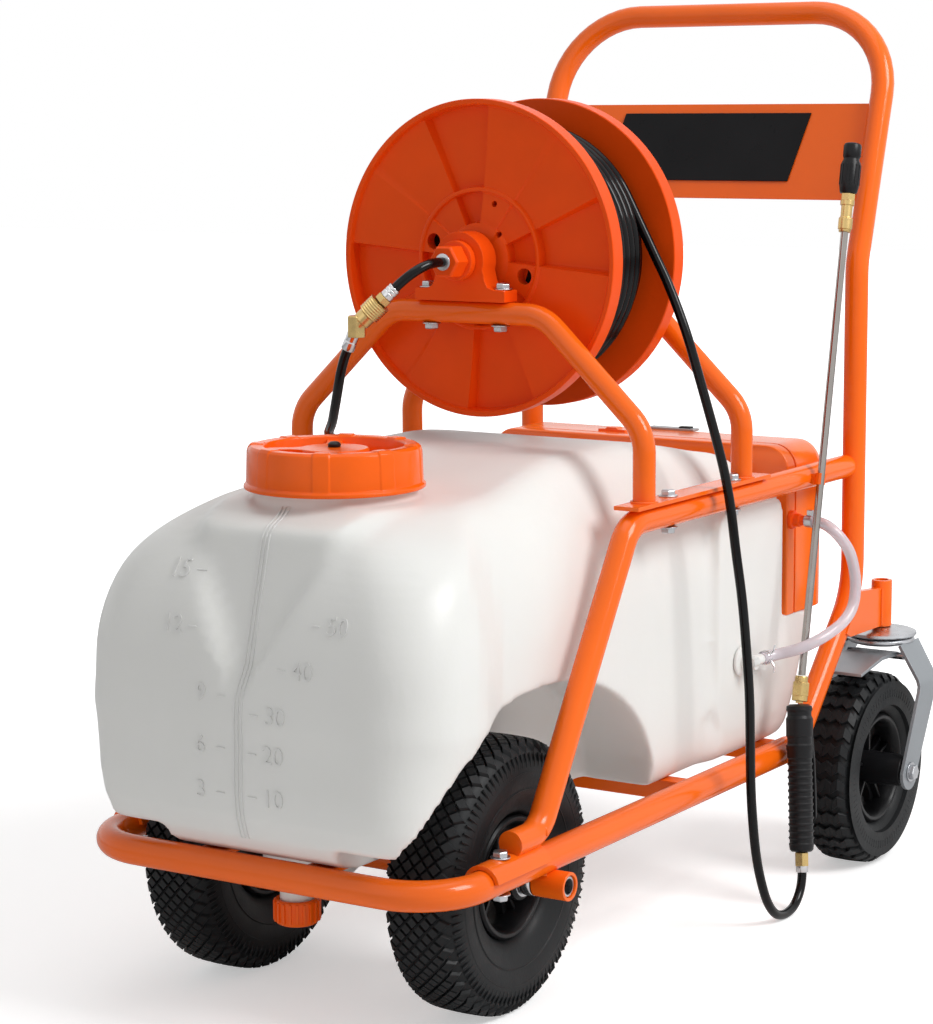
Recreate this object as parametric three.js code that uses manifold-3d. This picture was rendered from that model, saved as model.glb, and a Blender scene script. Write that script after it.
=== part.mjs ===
// Wheeled sprayer cart: tubular frame, two front wheels on a through axle, two rear swivel
// casters, moulded tank with screw lid and drain, pump box, hose reel on two hoops, spray lance.
// Millimetres, +Z up. -Y is the front (bumper end), +Y the rear (push handle end).
import * as THREE from "three";
import { mergeVertices } from "three/addons/utils/BufferGeometryUtils.js";
import Module from "manifold-3d";

const wasm = await Module();
wasm.setup();

// ---------------------------------------------------------------- driving sizes
const CLEAR = 0.3; // gap kept between two pieces that touch

// width of the moulded body, and the tubes beside it
const TANK_HALF_W = 184;
const RAIL_GAP = 3.5; // between the tank's side and the top rail
const SIDE_TUBE_D = 25;
const RAIL_X = TANK_HALF_W + RAIL_GAP + SIDE_TUBE_D / 2;

// base frame: one bent tube, the front axle sleeves and the tank's cross bars
const BASE_TUBE_D = 28;
const RAIL_Z = 154;
const BUMPER_Y = -175;
const BUMPER_BEND_R = 62;
const RAIL_END_Y = 507;
const CROSS_BAR_YS = [290, 490];
const CROSS_BAR_SIZE = 20;
const TANK_TAB_X = 60;
const TANK_TAB_W = 30;
const TANK_TAB_LENGTH = 56;
const TANK_TAB_T = 5;

// front axle and wheels
const WHEEL_R = 130;
const WHEEL_TRACK = 276;
const TYRE_W = 76;
const RIM_R = 58;
const RIM_HUB_R = 20;
const RIM_HUB_HALF = 40;
const AXLE_D = 20;
const AXLE_WALL = 2.5;
const AXLE_INSET = 2; // how far the axle's end lies inside its sleeve
const SLEEVE_D = 27;
const SLEEVE_X0 = RAIL_X - 9;
const SLEEVE_X1 = RAIL_X + 26;

// side frames: slanted front upright and top rail in one tube
const TOP_RAIL_Z = 442;
const UPRIGHT_FOOT_Y = -14;
const UPRIGHT_TOP_Y = 153;
const UPRIGHT_LAP = 42; // how far the tube's foot runs on over the saddle
const SIDE_BEND_R = 38;
const FOOT_BEND_R = 34;
const SADDLE_FRONT_Y = -111;
const SADDLE_T = 4.5;

// push handle
const HANDLE_X = RAIL_X + 5;
const HANDLE_TUBE_D = 25;
const HANDLE_Y = 648;
const HANDLE_KNEE_Z = 303;
const HANDLE_LEG_TILT = 43.7;
const HANDLE_LEAN = 17.8;
const HANDLE_LEAN_Z = 662;
const HANDLE_LEAN_LENGTH = 284;
const HANDLE_TOP_R = 95;
const KNEE_BEND_R = 85;
const LEAN_BEND_R = 70;
const PANEL_TO = HANDLE_LEAN_LENGTH - 105; // the panel's top edge, up the lean from the bend
const PANEL_FROM = PANEL_TO - 109;
const PANEL_T = 2;
const LABEL_T = 1.5;

// caster mountings and casters
const CASTER_X = HANDLE_X + 10;
const CASTER_Y = 705;
const CASTER_TRAIL = 50;
const CASTER_R = 106;
const CASTER_TYRE_W = 64;
const CASTER_RIM_R = 60;
const CASTER_HUB_R = 17;
const CASTER_AXLE_R = 6;
const CASTER_HEAD_R = 10; // of the caster axle's head and nut
const STEM_TUBE_D = 23;
const STEM_TUBE_Z0 = 256;
const STEM_TUBE_Z1 = 308;
const STEM_TOP_Z = STEM_TUBE_Z1 - 12;
const STEM_D = 12;
const STEM_NECK_R = 6.9;
const STEM_BORE_R = STEM_NECK_R + 0.4;
const GUSSET_T = 9;
const SLOT_W = 9;
const SLOT_DEPTH = 8;
const FORK_HALF_W = 60;
const FORK_T = 4;
const FORK_SHOULDER_W = 34;
const FORK_SHOULDER_Z = 242;
const FORK_KNEE_Z = 198;
const FORK_END_R = 20; // round end of the fork's legs about the axle
const RACE_Z = 246; // where the swivel's two races meet
const RACE_T = 6;
const KING_PIN_Z = RACE_Z - 10.5; // lower end of the swivel's pin
const SWIVEL_R = 40;
const BRAKE_PIN_Z = 226;
const BRAKE_PIN_R = 4;
const BRAKE_W = 52;

// reel and its stand
const HOOP_TUBE_D = 22;
const HOOP_FRONT_Y = 183;
const HOOP_REAR_Y = 387;
const HOOP_TOP_Z = 633;
const HOOP_SHOULDER_X = 88;
const HOOP_ELBOW_Z = 526;
const HOOP_BEND_R = 45;
const FOOT_STRIP_Y0 = 148;
const FOOT_STRIP_Y1 = 427;
const FOOT_STRIP_W = 27;
const FOOT_STRIP_T = 4;
const REEL_Z = 684;
const REEL_R = 156;
const REEL_FRONT_Y = 201;
const REEL_REAR_Y = 343;
const FLANGE_DEPTH = 19;
const FLANGE_WEB_T = 3;
const FLANGE_HUB_R = 34;
const RING_RIB_R = 67.5;
const SPOKE_RIBS = 12;
const SPOKE_RIB_T = 3;
const DRUM_R = 50;
const SHAFT_D = 24;
const SHAFT_COLLAR_R = 17;
const BLOCK_DEPTH = 24;
const BLOCK_HALF_W = 52;
const BLOCK_FOOT_T = 11;
const BLOCK_ARCH_R = 28;
const CRANK_LENGTH = 112;
const CRANK_T = 7;
const CRANK_PIN_R = 5;
const CRANK_PIN_LENGTH = 81;
const SWIVEL_NUT_LENGTH = 30;

// hoses
const HOSE_D = 9.6;
const WOUND_R = 127;
const WOUND_LOOPS = 8;
const STEPS_PER_LOOP = 18;
const WOUND_PITCH = 10.1;
const TAIL_ANGLE = 28; // where the hose leaves the turns
const TAIL_RUN = 66; // straight run of the wound hose from there
const CLEAR_HOSE_D = 12;

// tank
const TANK_NOSE_HALF_W = TANK_HALF_W + 13;
const TANK_WAIST = 3; // how much narrower the tank is between nose and rear block
const TANK_FRONT_Y = -200;
const TANK_REAR_Y = 526;
const TANK_LEDGE_Y = 598;
const TANK_LEDGE_Z = 292;
const TANK_BOTTOM_Z = 163;
const TANK_SHOULDER_Z = 330;
const TANK_CROWN_Z = 478; // height of the crown over the nose
const TANK_CROWN_RISE = 24;
const TANK_CROWN_FALL = 36;
const TANK_STEP_Y = 368; // where the rear block begins
const TANK_NOSE_R = 62;
const TANK_TAIL_R = 24;
const TANK_WALL = 4;
const ARCH_TOP_Z = 304;
const ARCH_GAP = 6; // between the wheel and the belly between the wheels
const BELLY_HALF_W = (WHEEL_TRACK - TYRE_W) / 2 - ARCH_GAP;
const NECK_Y = -43;
const NECK_R = 74;
const NECK_TOP_Z = 500;
const NECK_FLARE = 10; // how much wider the neck is where it leaves the crown
const MOUTH_R = 62;
const LID_R = 84;
const LID_TOP_Z = 528;
const LID_SKIRT = 13; // how far the lid reaches down over the neck
const LID_DISH = 14;
const DRAIN_Y = -112;
const DRAIN_CAP_R = 22;
const DRAIN_CAP_Z = 90;
const SUMP_R = 46;
const SUMP_DEPTH = 34;

// pump box
const BOX_HALF_W = TANK_HALF_W;
const BOX_REAR_Y = 626;
const BOX_TOP_Z = 474;
const BOX_CORNER_R = 22;

// spray lance
const LANCE_TOP = [RAIL_X + 17, 607, 791];
const GRIP_TOP = [RAIL_X + 25, 476, 211];
const GRIP_END = [RAIL_X + 45, 446, 38];
const LANCE_TUBE_D = 8;
const GRIP_R = 14;
const NOZZLE_LENGTH = 62;
const NUT_TOP = 29; // height of the brass nut over the grip
const GRIP_GAP = 0.8; // the nut's tilted foot just clears the grip
const FITTING_LENGTH = 22;

// middle of the cart's length, from the tank's nose to the casters' tyres
const MID_Y = (CASTER_Y - CASTER_TRAIL + CASTER_R + TANK_FRONT_Y) / 2;

// ---------------------------------------------------------------- materials
const finish = (color, roughness, metalness = 0) =>
  new THREE.MeshStandardMaterial({ color, roughness, metalness });
const ORANGE_PAINT = () => finish(0xf2601c, 0.42, 0.1);
const ORANGE_PLASTIC = () => finish(0xf55a18, 0.5);
const MILKY_PLASTIC = () => finish(0xeeeeea, 0.45);
const BLACK_RUBBER = () => finish(0x1b1d1f, 0.85);
const BLACK_PLASTIC = () => finish(0x1c1c1e, 0.5);
const ZINC = () => finish(0xa9adb0, 0.4, 0.8);
const BRASS = () => finish(0xb9975a, 0.35, 0.9);
const CHROME = () => finish(0xc9ccd0, 0.2, 1);
const CLEAR_PVC = () => finish(0xe8e0e4, 0.3);

// ---------------------------------------------------------------- geometry helpers
function rad(degrees) {
  return (degrees * Math.PI) / 180;
}

const v = (x, y, z) => new THREE.Vector3(x, y, z);

// Eases from 0 to 1.
const smooth = (t) => THREE.MathUtils.smoothstep(t, 0, 1);

// Merges shared corners, drops collapsed triangles and turns the faces outwards.
function weld(geometry) {
  const bare = geometry.index ? geometry.toNonIndexed() : geometry.clone();
  for (const name of Object.keys(bare.attributes)) {
    if (name !== "position") bare.deleteAttribute(name);
  }
  const merged = mergeVertices(bare, 1e-3);
  const position = merged.attributes.position;
  const kept = [];
  let volume = 0;
  const [a, b, c] = [v(0, 0, 0), v(0, 0, 0), v(0, 0, 0)];
  for (let i = 0; i < merged.index.count; i += 3) {
    const [p, q, r] = [0, 1, 2].map((k) => merged.index.getX(i + k));
    if (p === q || q === r || p === r) continue;
    kept.push(p, q, r);
    a.fromBufferAttribute(position, p);
    b.fromBufferAttribute(position, q);
    c.fromBufferAttribute(position, r);
    volume += a.dot(b.cross(c)) / 6;
  }
  if (volume < 0) {
    for (let i = 0; i < kept.length; i += 3) [kept[i], kept[i + 1]] = [kept[i + 1], kept[i]];
  }
  merged.setIndex(kept);
  return merged;
}

function toSolid(geometry) {
  if (geometry instanceof wasm.Manifold) return geometry;
  const g = weld(geometry);
  const mesh = new wasm.Mesh({
    numProp: 3,
    vertProperties: new Float32Array(g.attributes.position.array),
    triVerts: new Uint32Array(g.index.array),
  });
  return new wasm.Manifold(mesh);
}

function toGeometry(solid) {
  if (!(solid instanceof wasm.Manifold)) return weld(solid);
  const mesh = solid.getMesh();
  const g = new THREE.BufferGeometry();
  g.setAttribute("position", new THREE.BufferAttribute(new Float32Array(mesh.vertProperties), 3));
  g.setIndex([...mesh.triVerts]);
  return g;
}

const union = (...parts) => parts.map(toSolid).reduce((sum, part) => sum.add(part));
const cut = (body, ...tools) => tools.map(toSolid).reduce((rest, tool) => rest.subtract(tool), toSolid(body));
const common = (a, b) => toSolid(a).intersect(toSolid(b));

const block = (sx, sy, sz, x, y, z) => new THREE.BoxGeometry(sx, sy, sz).translate(x, y, z);

// A revolved solid about +Z through (x, y); the profile is a list of [radius, height].
function turned(profile, sides, x = 0, y = 0, z = 0, start = 0) {
  const points = profile.map(([r, h]) => new THREE.Vector2(r, h));
  return new THREE.LatheGeometry(points, sides, start).rotateX(Math.PI / 2).translate(x, y, z);
}

// The same about +X; the profile is a list of [radius, x], its flats above and below.
function turnedX(profile, sides, x = 0, y = 0, z = 0) {
  const points = profile.map(([r, h]) => new THREE.Vector2(r, h));
  const g = new THREE.LatheGeometry(points, sides, Math.PI / sides);
  return g.rotateZ(-Math.PI / 2).translate(x, y, z);
}

// The same about +Y; the profile is a list of [radius, y].
function turnedY(profile, sides, x = 0, y = 0, z = 0) {
  const points = profile.map(([r, h]) => new THREE.Vector2(r, h));
  return new THREE.LatheGeometry(points, sides).translate(x, y, z);
}

const rod = (r, from, to) => [[0, from], [r, from], [r, to], [0, to]];
const pipe = (outer, inner, from, to) =>
  [[inner, from], [outer, from], [outer, to], [inner, to], [inner, from]];

const outline = (points) => new THREE.Shape(points.map(([x, y]) => new THREE.Vector2(x, y)));

function disc(radius, sides, holeRadius = 0) {
  const ring = (r, direction) => Array.from({ length: sides }, (_, i) => {
    const angle = direction * ((i + 0.5) / sides) * 2 * Math.PI;
    return new THREE.Vector2(r * Math.cos(angle), r * Math.sin(angle));
  });
  const shape = new THREE.Shape(ring(radius, 1));
  if (holeRadius) shape.holes.push(new THREE.Path(ring(holeRadius, -1)));
  return shape;
}

// A flat plate: its outline in (y, z), from x towards +X.
function plateYZ(shape, thickness, x) {
  const turn = new THREE.Matrix4().makeBasis(v(0, 1, 0), v(0, 0, 1), v(1, 0, 0));
  return new THREE.ExtrudeGeometry(shape, { depth: thickness, bevelEnabled: false })
    .applyMatrix4(turn).translate(x, 0, 0);
}

// A flat plate: its outline in (x, z), from y towards +Y.
function plateXZ(shape, thickness, y) {
  const turn = new THREE.Matrix4().makeBasis(v(1, 0, 0), v(0, 0, 1), v(0, -1, 0));
  return new THREE.ExtrudeGeometry(shape, { depth: thickness, bevelEnabled: false })
    .applyMatrix4(turn).translate(0, y + thickness, 0);
}

// A path through given stations, each with its own direction, so that a sweep puts one
// section at each station and none between.
class Stations extends THREE.Curve {
  constructor(stations) {
    super();
    this.stations = stations;
  }
  getPoint(t, target = v(0, 0, 0)) {
    const place = t * (this.stations.length - 1);
    const i = Math.min(Math.floor(place), this.stations.length - 2);
    return target.lerpVectors(this.stations[i].at, this.stations[i + 1].at, place - i);
  }
  getPointAt(u, target) {
    return this.getPoint(u, target);
  }
  getTangent(t, target = v(0, 0, 0)) {
    return target.copy(this.stations[Math.round(t * (this.stations.length - 1))].along);
  }
  getTangentAt(u, target) {
    return this.getTangent(u, target);
  }
}

// Straight runs through the corner points, each corner rounded with a bend of that radius.
function bentTube(corners, radii, section, degreesPerStep = 18) {
  const points = corners.map((p) => v(...p));
  const stations = [{ at: points[0], along: points[1].clone().sub(points[0]).normalize() }];
  for (let i = 1; i < points.length - 1; i++) {
    const before = points[i].clone().sub(points[i - 1]).normalize();
    const after = points[i + 1].clone().sub(points[i]).normalize();
    const turn = before.angleTo(after);
    const radius = Array.isArray(radii) ? radii[i - 1] : radii;
    const reach = radius * Math.tan(turn / 2);
    const start = points[i].clone().addScaledVector(before, -reach);
    const inward = after.clone().addScaledVector(before, -after.dot(before)).normalize();
    const steps = Math.ceil(THREE.MathUtils.radToDeg(turn) / degreesPerStep);
    for (let k = 0; k <= steps; k++) {
      const angle = (turn * k) / steps;
      const at = start.clone()
        .addScaledVector(before, radius * Math.sin(angle))
        .addScaledVector(inward, radius * (1 - Math.cos(angle)));
      const along = before.clone().multiplyScalar(Math.cos(angle)).addScaledVector(inward, Math.sin(angle));
      stations.push({ at, along });
    }
  }
  const last = points[points.length - 1];
  stations.push({ at: last, along: last.clone().sub(points[points.length - 2]).normalize() });
  return sweep(stations, section);
}

function sweep(stations, section) {
  const path = new Stations(stations);
  return new THREE.ExtrudeGeometry(section, { steps: stations.length - 1, extrudePath: path });
}

// A hose along one smooth curve, with a ring of points at each step.
function softTube(points, diameter, sides, steps) {
  const curve = new THREE.CatmullRomCurve3(points.map((p) => v(...p)), false, "centripetal");
  return new THREE.ExtrudeGeometry(disc(diameter / 2, sides), { steps, extrudePath: curve });
}

// A solid through closed rings of equal count; the end rings are closed side to side,
// each point joined to its mirror point.
function loft(rings) {
  const count = rings[0].length;
  const positions = rings.flat().flatMap((p) => [p.x, p.y, p.z]);
  const index = [];
  const quad = (a, b, c, d) => index.push(a, b, c, a, c, d);
  for (let r = 0; r < rings.length - 1; r++) {
    for (let i = 0; i < count; i++) {
      const j = (i + 1) % count;
      quad(r * count + i, r * count + j, (r + 1) * count + j, (r + 1) * count + i);
    }
  }
  const close = (base, flip) => {
    for (let i = 0; i < count / 2; i++) {
      const [a, b] = [base + i, base + ((i + 1) % count)];
      const [c, d] = [base + count - 1 - i, base + ((count - i) % count)];
      const corners = [a, b, c, d];
      if (flip) corners.reverse();
      quad(...corners);
    }
  };
  close(0, true);
  close((rings.length - 1) * count, false);
  const g = new THREE.BufferGeometry();
  g.setAttribute("position", new THREE.Float32BufferAttribute(positions, 3));
  g.setIndex(index);
  return g;
}

const mirrored = (geometry) => toGeometry(geometry).scale(-1, 1, 1);

// ---------------------------------------------------------------- the part's pieces
const root = new THREE.Group();
root.name = "sprayer_cart";

function add(name, geometry, material) {
  const g = toGeometry(geometry).translate(0, -MID_Y, 0);
  const finished = weld(g).toNonIndexed();
  finished.computeVertexNormals();
  const mesh = new THREE.Mesh(finished, material);
  mesh.name = name;
  root.add(mesh);
  return mesh;
}

const SIDES = [["right", 1], ["left", -1]];
const onSide = (geometry, side) => (side > 0 ? geometry : mirrored(geometry));

// ---------------------------------------------------------------- base frame
const legDirection = [0, Math.sin(rad(HANDLE_LEG_TILT)), Math.cos(rad(HANDLE_LEG_TILT))];
const mitreNormal = v(0, 1 + legDirection[1], legDirection[2]).normalize();
const mitreOffset = mitreNormal.dot(v(0, RAIL_END_Y, RAIL_Z));

function baseFrame() {
  const beyond = RAIL_END_Y + BASE_TUBE_D;
  const hoop = bentTube(
    [[-RAIL_X, beyond, RAIL_Z], [-RAIL_X, BUMPER_Y, RAIL_Z], [RAIL_X, BUMPER_Y, RAIL_Z],
      [RAIL_X, beyond, RAIL_Z]],
    BUMPER_BEND_R, disc(BASE_TUBE_D / 2, 12), 22.5);
  const railEnds = toSolid(hoop)
    .trimByPlane(mitreNormal.clone().negate().toArray(), -(mitreOffset - CLEAR / 2));
  const bars = CROSS_BAR_YS.map((y) => block(2 * RAIL_X - BASE_TUBE_D / 2, CROSS_BAR_SIZE, CROSS_BAR_SIZE,
    0, y, TANK_BOTTOM_Z - CLEAR - CROSS_BAR_SIZE / 2));
  const tabs = SIDES.map(([, side]) => block(TANK_TAB_W, TANK_TAB_LENGTH, TANK_TAB_T, side * TANK_TAB_X,
    BUMPER_Y + TANK_TAB_LENGTH / 2 + 2, TANK_BOTTOM_Z - CLEAR - TANK_TAB_T / 2));
  const sleeves = SIDES.map(([, side]) => onSide(turnedX(rod(SLEEVE_D / 2, SLEEVE_X0, SLEEVE_X1), 12, 0, 0,
    WHEEL_R), side));
  const bores = SIDES.map(([, side]) => onSide(turnedX(
    rod(AXLE_D / 2 + CLEAR, SLEEVE_X0 - 20, SLEEVE_X1 + 2), 12, 0, 0, WHEEL_R), side));
  return cut(union(railEnds, ...bars, ...tabs, ...sleeves), ...bores);
}

// ---------------------------------------------------------------- side frames
const saddleOuter = BASE_TUBE_D / 2 + CLEAR + SADDLE_T;

function sideFrame() {
  const slope = (TOP_RAIL_Z - RAIL_Z - BASE_TUBE_D / 2 - SIDE_TUBE_D / 2) / (UPRIGHT_TOP_Y - UPRIGHT_FOOT_Y);
  const footZ = TOP_RAIL_Z - slope * (UPRIGHT_TOP_Y - UPRIGHT_FOOT_Y);
  const tube = bentTube(
    [[RAIL_X, UPRIGHT_FOOT_Y - UPRIGHT_LAP, footZ], [RAIL_X, UPRIGHT_FOOT_Y, footZ],
      [RAIL_X, UPRIGHT_TOP_Y, TOP_RAIL_Z], [RAIL_X, HANDLE_Y, TOP_RAIL_Z]],
    [FOOT_BEND_R, SIDE_BEND_R], disc(SIDE_TUBE_D / 2, 12), 20);
  const half = Array.from({ length: 7 }, (_, i) => rad(12 + (156 * i) / 6));
  const arc = (r, angles) => angles.map((a) => [RAIL_X + r * Math.cos(a), RAIL_Z + r * Math.sin(a)]);
  const saddle = plateXZ(outline([...arc(saddleOuter, half),
    ...arc(BASE_TUBE_D / 2 + CLEAR, [...half].reverse())]),
    UPRIGHT_FOOT_Y - 6 - SADDLE_FRONT_Y, SADDLE_FRONT_Y);
  const railRoom = turnedY(rod(BASE_TUBE_D / 2 + CLEAR, -200, 200), 20, RAIL_X, 0, RAIL_Z);
  const handleRoom = turned(rod(HANDLE_TUBE_D / 2 + CLEAR, 300, 600), 16, HANDLE_X, HANDLE_Y);
  return cut(union(tube, saddle), railRoom, handleRoom);
}

// ---------------------------------------------------------------- push handle
const leanDirection = [0, Math.sin(rad(HANDLE_LEAN)), Math.cos(rad(HANDLE_LEAN))];
const handleTop = {
  y: HANDLE_Y + HANDLE_LEAN_LENGTH * leanDirection[1],
  z: HANDLE_LEAN_Z + HANDLE_LEAN_LENGTH * leanDirection[2],
};

function handleTube(radius) {
  const legRun = (HANDLE_KNEE_Z - RAIL_Z + BASE_TUBE_D) / legDirection[2];
  const foot = [HANDLE_Y - legRun * legDirection[1], HANDLE_KNEE_Z - legRun * legDirection[2]];
  const side = (x) => [[x, ...foot], [x, HANDLE_Y, HANDLE_KNEE_Z], [x, HANDLE_Y, HANDLE_LEAN_Z],
    [x, handleTop.y, handleTop.z]];
  const radii = [KNEE_BEND_R, LEAN_BEND_R, HANDLE_TOP_R];
  return bentTube([...side(-HANDLE_X), ...side(HANDLE_X).reverse()],
    [...radii, ...[...radii].reverse()], disc(radius, 12), 22.5);
}

function handleFrame() {
  return toSolid(handleTube(HANDLE_TUBE_D / 2)).trimByPlane(mitreNormal.toArray(), mitreOffset + CLEAR / 2);
}

// Places a flat shape of the leaning plane: x across, y up the lean from the bend.
function onLean(geometry, forward) {
  const across = v(1, 0, 0);
  const up = v(...leanDirection);
  const turn = new THREE.Matrix4().makeBasis(across, up, across.clone().cross(up));
  return geometry.translate(0, 0, forward).applyMatrix4(turn).translate(0, HANDLE_Y, HANDLE_LEAN_Z);
}

function handlePanel() {
  const halfW = HANDLE_X - HANDLE_TUBE_D / 2 - CLEAR;
  const sheet = outline([[-halfW, PANEL_FROM], [halfW, PANEL_FROM], [halfW, PANEL_TO], [-halfW, PANEL_TO]]);
  return onLean(new THREE.ExtrudeGeometry(sheet, { depth: PANEL_T, bevelEnabled: false }), -PANEL_T / 2);
}

function labelPlate() {
  const [bottom, top] = [PANEL_FROM + 20, PANEL_TO - 11];
  const [narrow, wide] = [HANDLE_X - 97, HANDLE_X - 80];
  const plate = outline([[-wide, bottom], [narrow, bottom], [wide, top], [-narrow, top]]);
  const film = new THREE.ExtrudeGeometry(plate, { depth: LABEL_T, bevelEnabled: false });
  return onLean(film, PANEL_T / 2 + CLEAR);
}

// ---------------------------------------------------------------- caster mounting
function casterBracket() {
  const tube = turned(rod(STEM_TUBE_D / 2, STEM_TUBE_Z0, STEM_TUBE_Z1), 12, CASTER_X, CASTER_Y);
  const legY = (z) => HANDLE_Y - (HANDLE_KNEE_Z - z) * (legDirection[1] / legDirection[2]);
  const gusset = plateYZ(outline([
    [HANDLE_Y - 12, STEM_TUBE_Z1 - 3], [CASTER_Y - 6, STEM_TUBE_Z1 - 8], [CASTER_Y - 6, STEM_TUBE_Z0 + 1],
    [legY(STEM_TUBE_Z0) + 12, STEM_TUBE_Z0 + 2], [legY(STEM_TUBE_Z0) - 6, STEM_TUBE_Z0 + 8]]),
  GUSSET_T, CASTER_X - GUSSET_T / 2);
  const bore = turned(rod(STEM_BORE_R, STEM_TUBE_Z0 - 5, STEM_TUBE_Z1 + 5), 12, CASTER_X, CASTER_Y);
  const slot = block(SLOT_W, SLOT_W, SLOT_DEPTH, CASTER_X - STEM_TUBE_D / 2, CASTER_Y,
    STEM_TUBE_Z1 - SLOT_DEPTH / 2 + 1);
  return cut(union(gusset, tube), bore, slot, handleTube(HANDLE_TUBE_D / 2 + CLEAR));
}

// Fixed head of the caster: king pin, upper race and the stem in its tube.
function casterHead() {
  const shoulder = STEM_TUBE_Z0 - CLEAR;
  return turned([[0, KING_PIN_Z], [STEM_D / 2, KING_PIN_Z], [STEM_D / 2, RACE_Z], [SWIVEL_R, RACE_Z],
    [SWIVEL_R - 2, RACE_Z + RACE_T], [14, shoulder - 1], [10, shoulder], [STEM_NECK_R, shoulder],
    [STEM_NECK_R, STEM_TOP_Z], [0, STEM_TOP_Z]], 16, CASTER_X, CASTER_Y);
}

function casterFork() {
  const axleY = CASTER_Y - CASTER_TRAIL;
  const bore = STEM_D / 2 + CLEAR;
  const outer = SWIVEL_R - 3;
  const race = turned([[bore, RACE_Z - 10], [outer - 7, RACE_Z - 10], [outer - 3, RACE_Z - 6],
    [outer, RACE_Z - 4], [outer, RACE_Z - CLEAR], [bore, RACE_Z - CLEAR], [bore, RACE_Z - 10]],
  16, CASTER_X, CASTER_Y);
  const inner = FORK_HALF_W - FORK_T;
  const root = SWIVEL_R / 2;
  const foot = CASTER_R - 22;
  const legs = [1, -1].map((side) => {
    const profile = [[root, FORK_SHOULDER_Z], [FORK_SHOULDER_W, FORK_SHOULDER_Z], [FORK_HALF_W, FORK_KNEE_Z],
      [FORK_HALF_W, foot], [inner, foot], [inner, FORK_KNEE_Z - 1],
      [FORK_SHOULDER_W - FORK_T, FORK_SHOULDER_Z - 5], [root, FORK_SHOULDER_Z - 5]];
    const points = profile.map(([x, z]) => [CASTER_X + side * x, z]);
    return plateXZ(outline(points), 3 * CASTER_TRAIL, axleY - CASTER_TRAIL);
  });
  const round = Array.from({ length: 6 }, (_, i) => rad(190 + 32 * i));
  const [above, below] = [FORK_SHOULDER_Z + 18, FORK_KNEE_Z - 2];
  const cheek = outline([[CASTER_Y + 25, above], [CASTER_Y - 25, above], [CASTER_Y - 22, below],
    ...round.map((a) => [axleY + FORK_END_R * Math.cos(a), CASTER_R + FORK_END_R * Math.sin(a)]),
    [CASTER_Y + 26, below - 4]]);
  const keep = plateYZ(cheek, 2 * FORK_HALF_W + 20, CASTER_X - FORK_HALF_W - 10);
  const reach = FORK_HALF_W + 5;
  const axleHole = turnedX(rod(CASTER_AXLE_R + CLEAR, -reach, reach), 10, CASTER_X, axleY, CASTER_R);
  return cut(union(race, common(union(...legs), keep)), axleHole);
}

function casterAxle() {
  const x = FORK_HALF_W + CLEAR;
  const [r, head] = [CASTER_AXLE_R, CASTER_HEAD_R];
  const bolt = [[0, -x - 7], [head, -x - 7], [head, -x], [r, -x], [r, x], [head, x], [head, x + 6],
    [0, x + 6]];
  return turnedX(bolt, 10, CASTER_X, CASTER_Y - CASTER_TRAIL, CASTER_R);
}

// Foot brake: a plate over the tyre on a pin between the fork's legs.
function casterBrake() {
  const hinge = { y: CASTER_Y - STEM_D, z: BRAKE_PIN_Z };
  const [knee, toe] = [hinge.y - 40, hinge.y - 96];
  const plate = plateYZ(outline([[hinge.y + 4, hinge.z - 4], [hinge.y + 4, hinge.z + 4],
    [knee, hinge.z + 5], [toe, hinge.z - 4], [toe, hinge.z - 8], [knee, hinge.z]]),
  BRAKE_W, CASTER_X - BRAKE_W / 2);
  const legSlope = (FORK_HALF_W - FORK_SHOULDER_W) / (FORK_SHOULDER_Z - 5 - FORK_KNEE_Z + 1);
  const below = FORK_SHOULDER_Z - 5 - BRAKE_PIN_Z - BRAKE_PIN_R;
  const reach = FORK_SHOULDER_W - FORK_T + below * legSlope - CLEAR;
  return union(plate, turnedX(rod(BRAKE_PIN_R, -reach, reach), 8, CASTER_X, hinge.y, hinge.z));
}

// ---------------------------------------------------------------- wheels
const flatUnder = (sides) => 1 / Math.cos(Math.PI / sides); // puts the flats, not the corners, at the radius

function tyre(radius, width, rimR, sides) {
  const w = width / 2;
  const k = flatUnder(sides);
  const wall = (radius - rimR) / 2 + rimR;
  const half = [[rimR + CLEAR, w * 0.55], [wall, w], [radius - 12, w * 0.94], [radius, w * 0.55]];
  const profile = [...half.map(([r, x]) => [r * k, x]), ...[...half].reverse().map(([r, x]) => [r * k, -x])];
  profile.push(profile[0]);
  return turnedX(profile, sides);
}

function rim(width, rimR, hubR, hubHalf, boreR, sides) {
  const w = width / 2;
  const [lip, web] = [0.6 * w, 4];
  const half = [[boreR, hubHalf], [hubR, hubHalf], [hubR, web], [rimR - 12, web], [rimR - 6, lip],
    [rimR, lip]];
  const profile = [...half.map(([r, x]) => [r, -x]), ...[...half].reverse()];
  profile.push(profile[0]);
  const disk = turnedX(profile, sides);
  const corner = (r, angle) => [r * Math.cos(rad(angle)), r * Math.sin(rad(angle))];
  const windows = Array.from({ length: 5 }, (_, i) => {
    const middle = 72 * i + 90;
    const [inner, outer] = [hubR + 3, rimR - 15];
    return plateYZ(outline([corner(inner, middle - 18), corner(outer, middle - 25), corner(outer + 2, middle),
      corner(outer, middle + 25), corner(inner, middle + 18)]), 20, -10);
  });
  return cut(disk, ...windows);
}

function frontAxle() {
  const end = SLEEVE_X1 - AXLE_INSET;
  const tube = pipe(AXLE_D / 2, AXLE_D / 2 - AXLE_WALL, -end, end);
  return turnedX(tube, 12, 0, 0, WHEEL_R);
}

// Tube on the axle that keeps the two wheels apart.
function axleSpacer() {
  const end = WHEEL_TRACK / 2 - RIM_HUB_HALF - CLEAR;
  return turnedX(pipe(SLEEVE_D / 2, AXLE_D / 2 + CLEAR, -end, end), 12, 0, 0, WHEEL_R);
}

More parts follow.
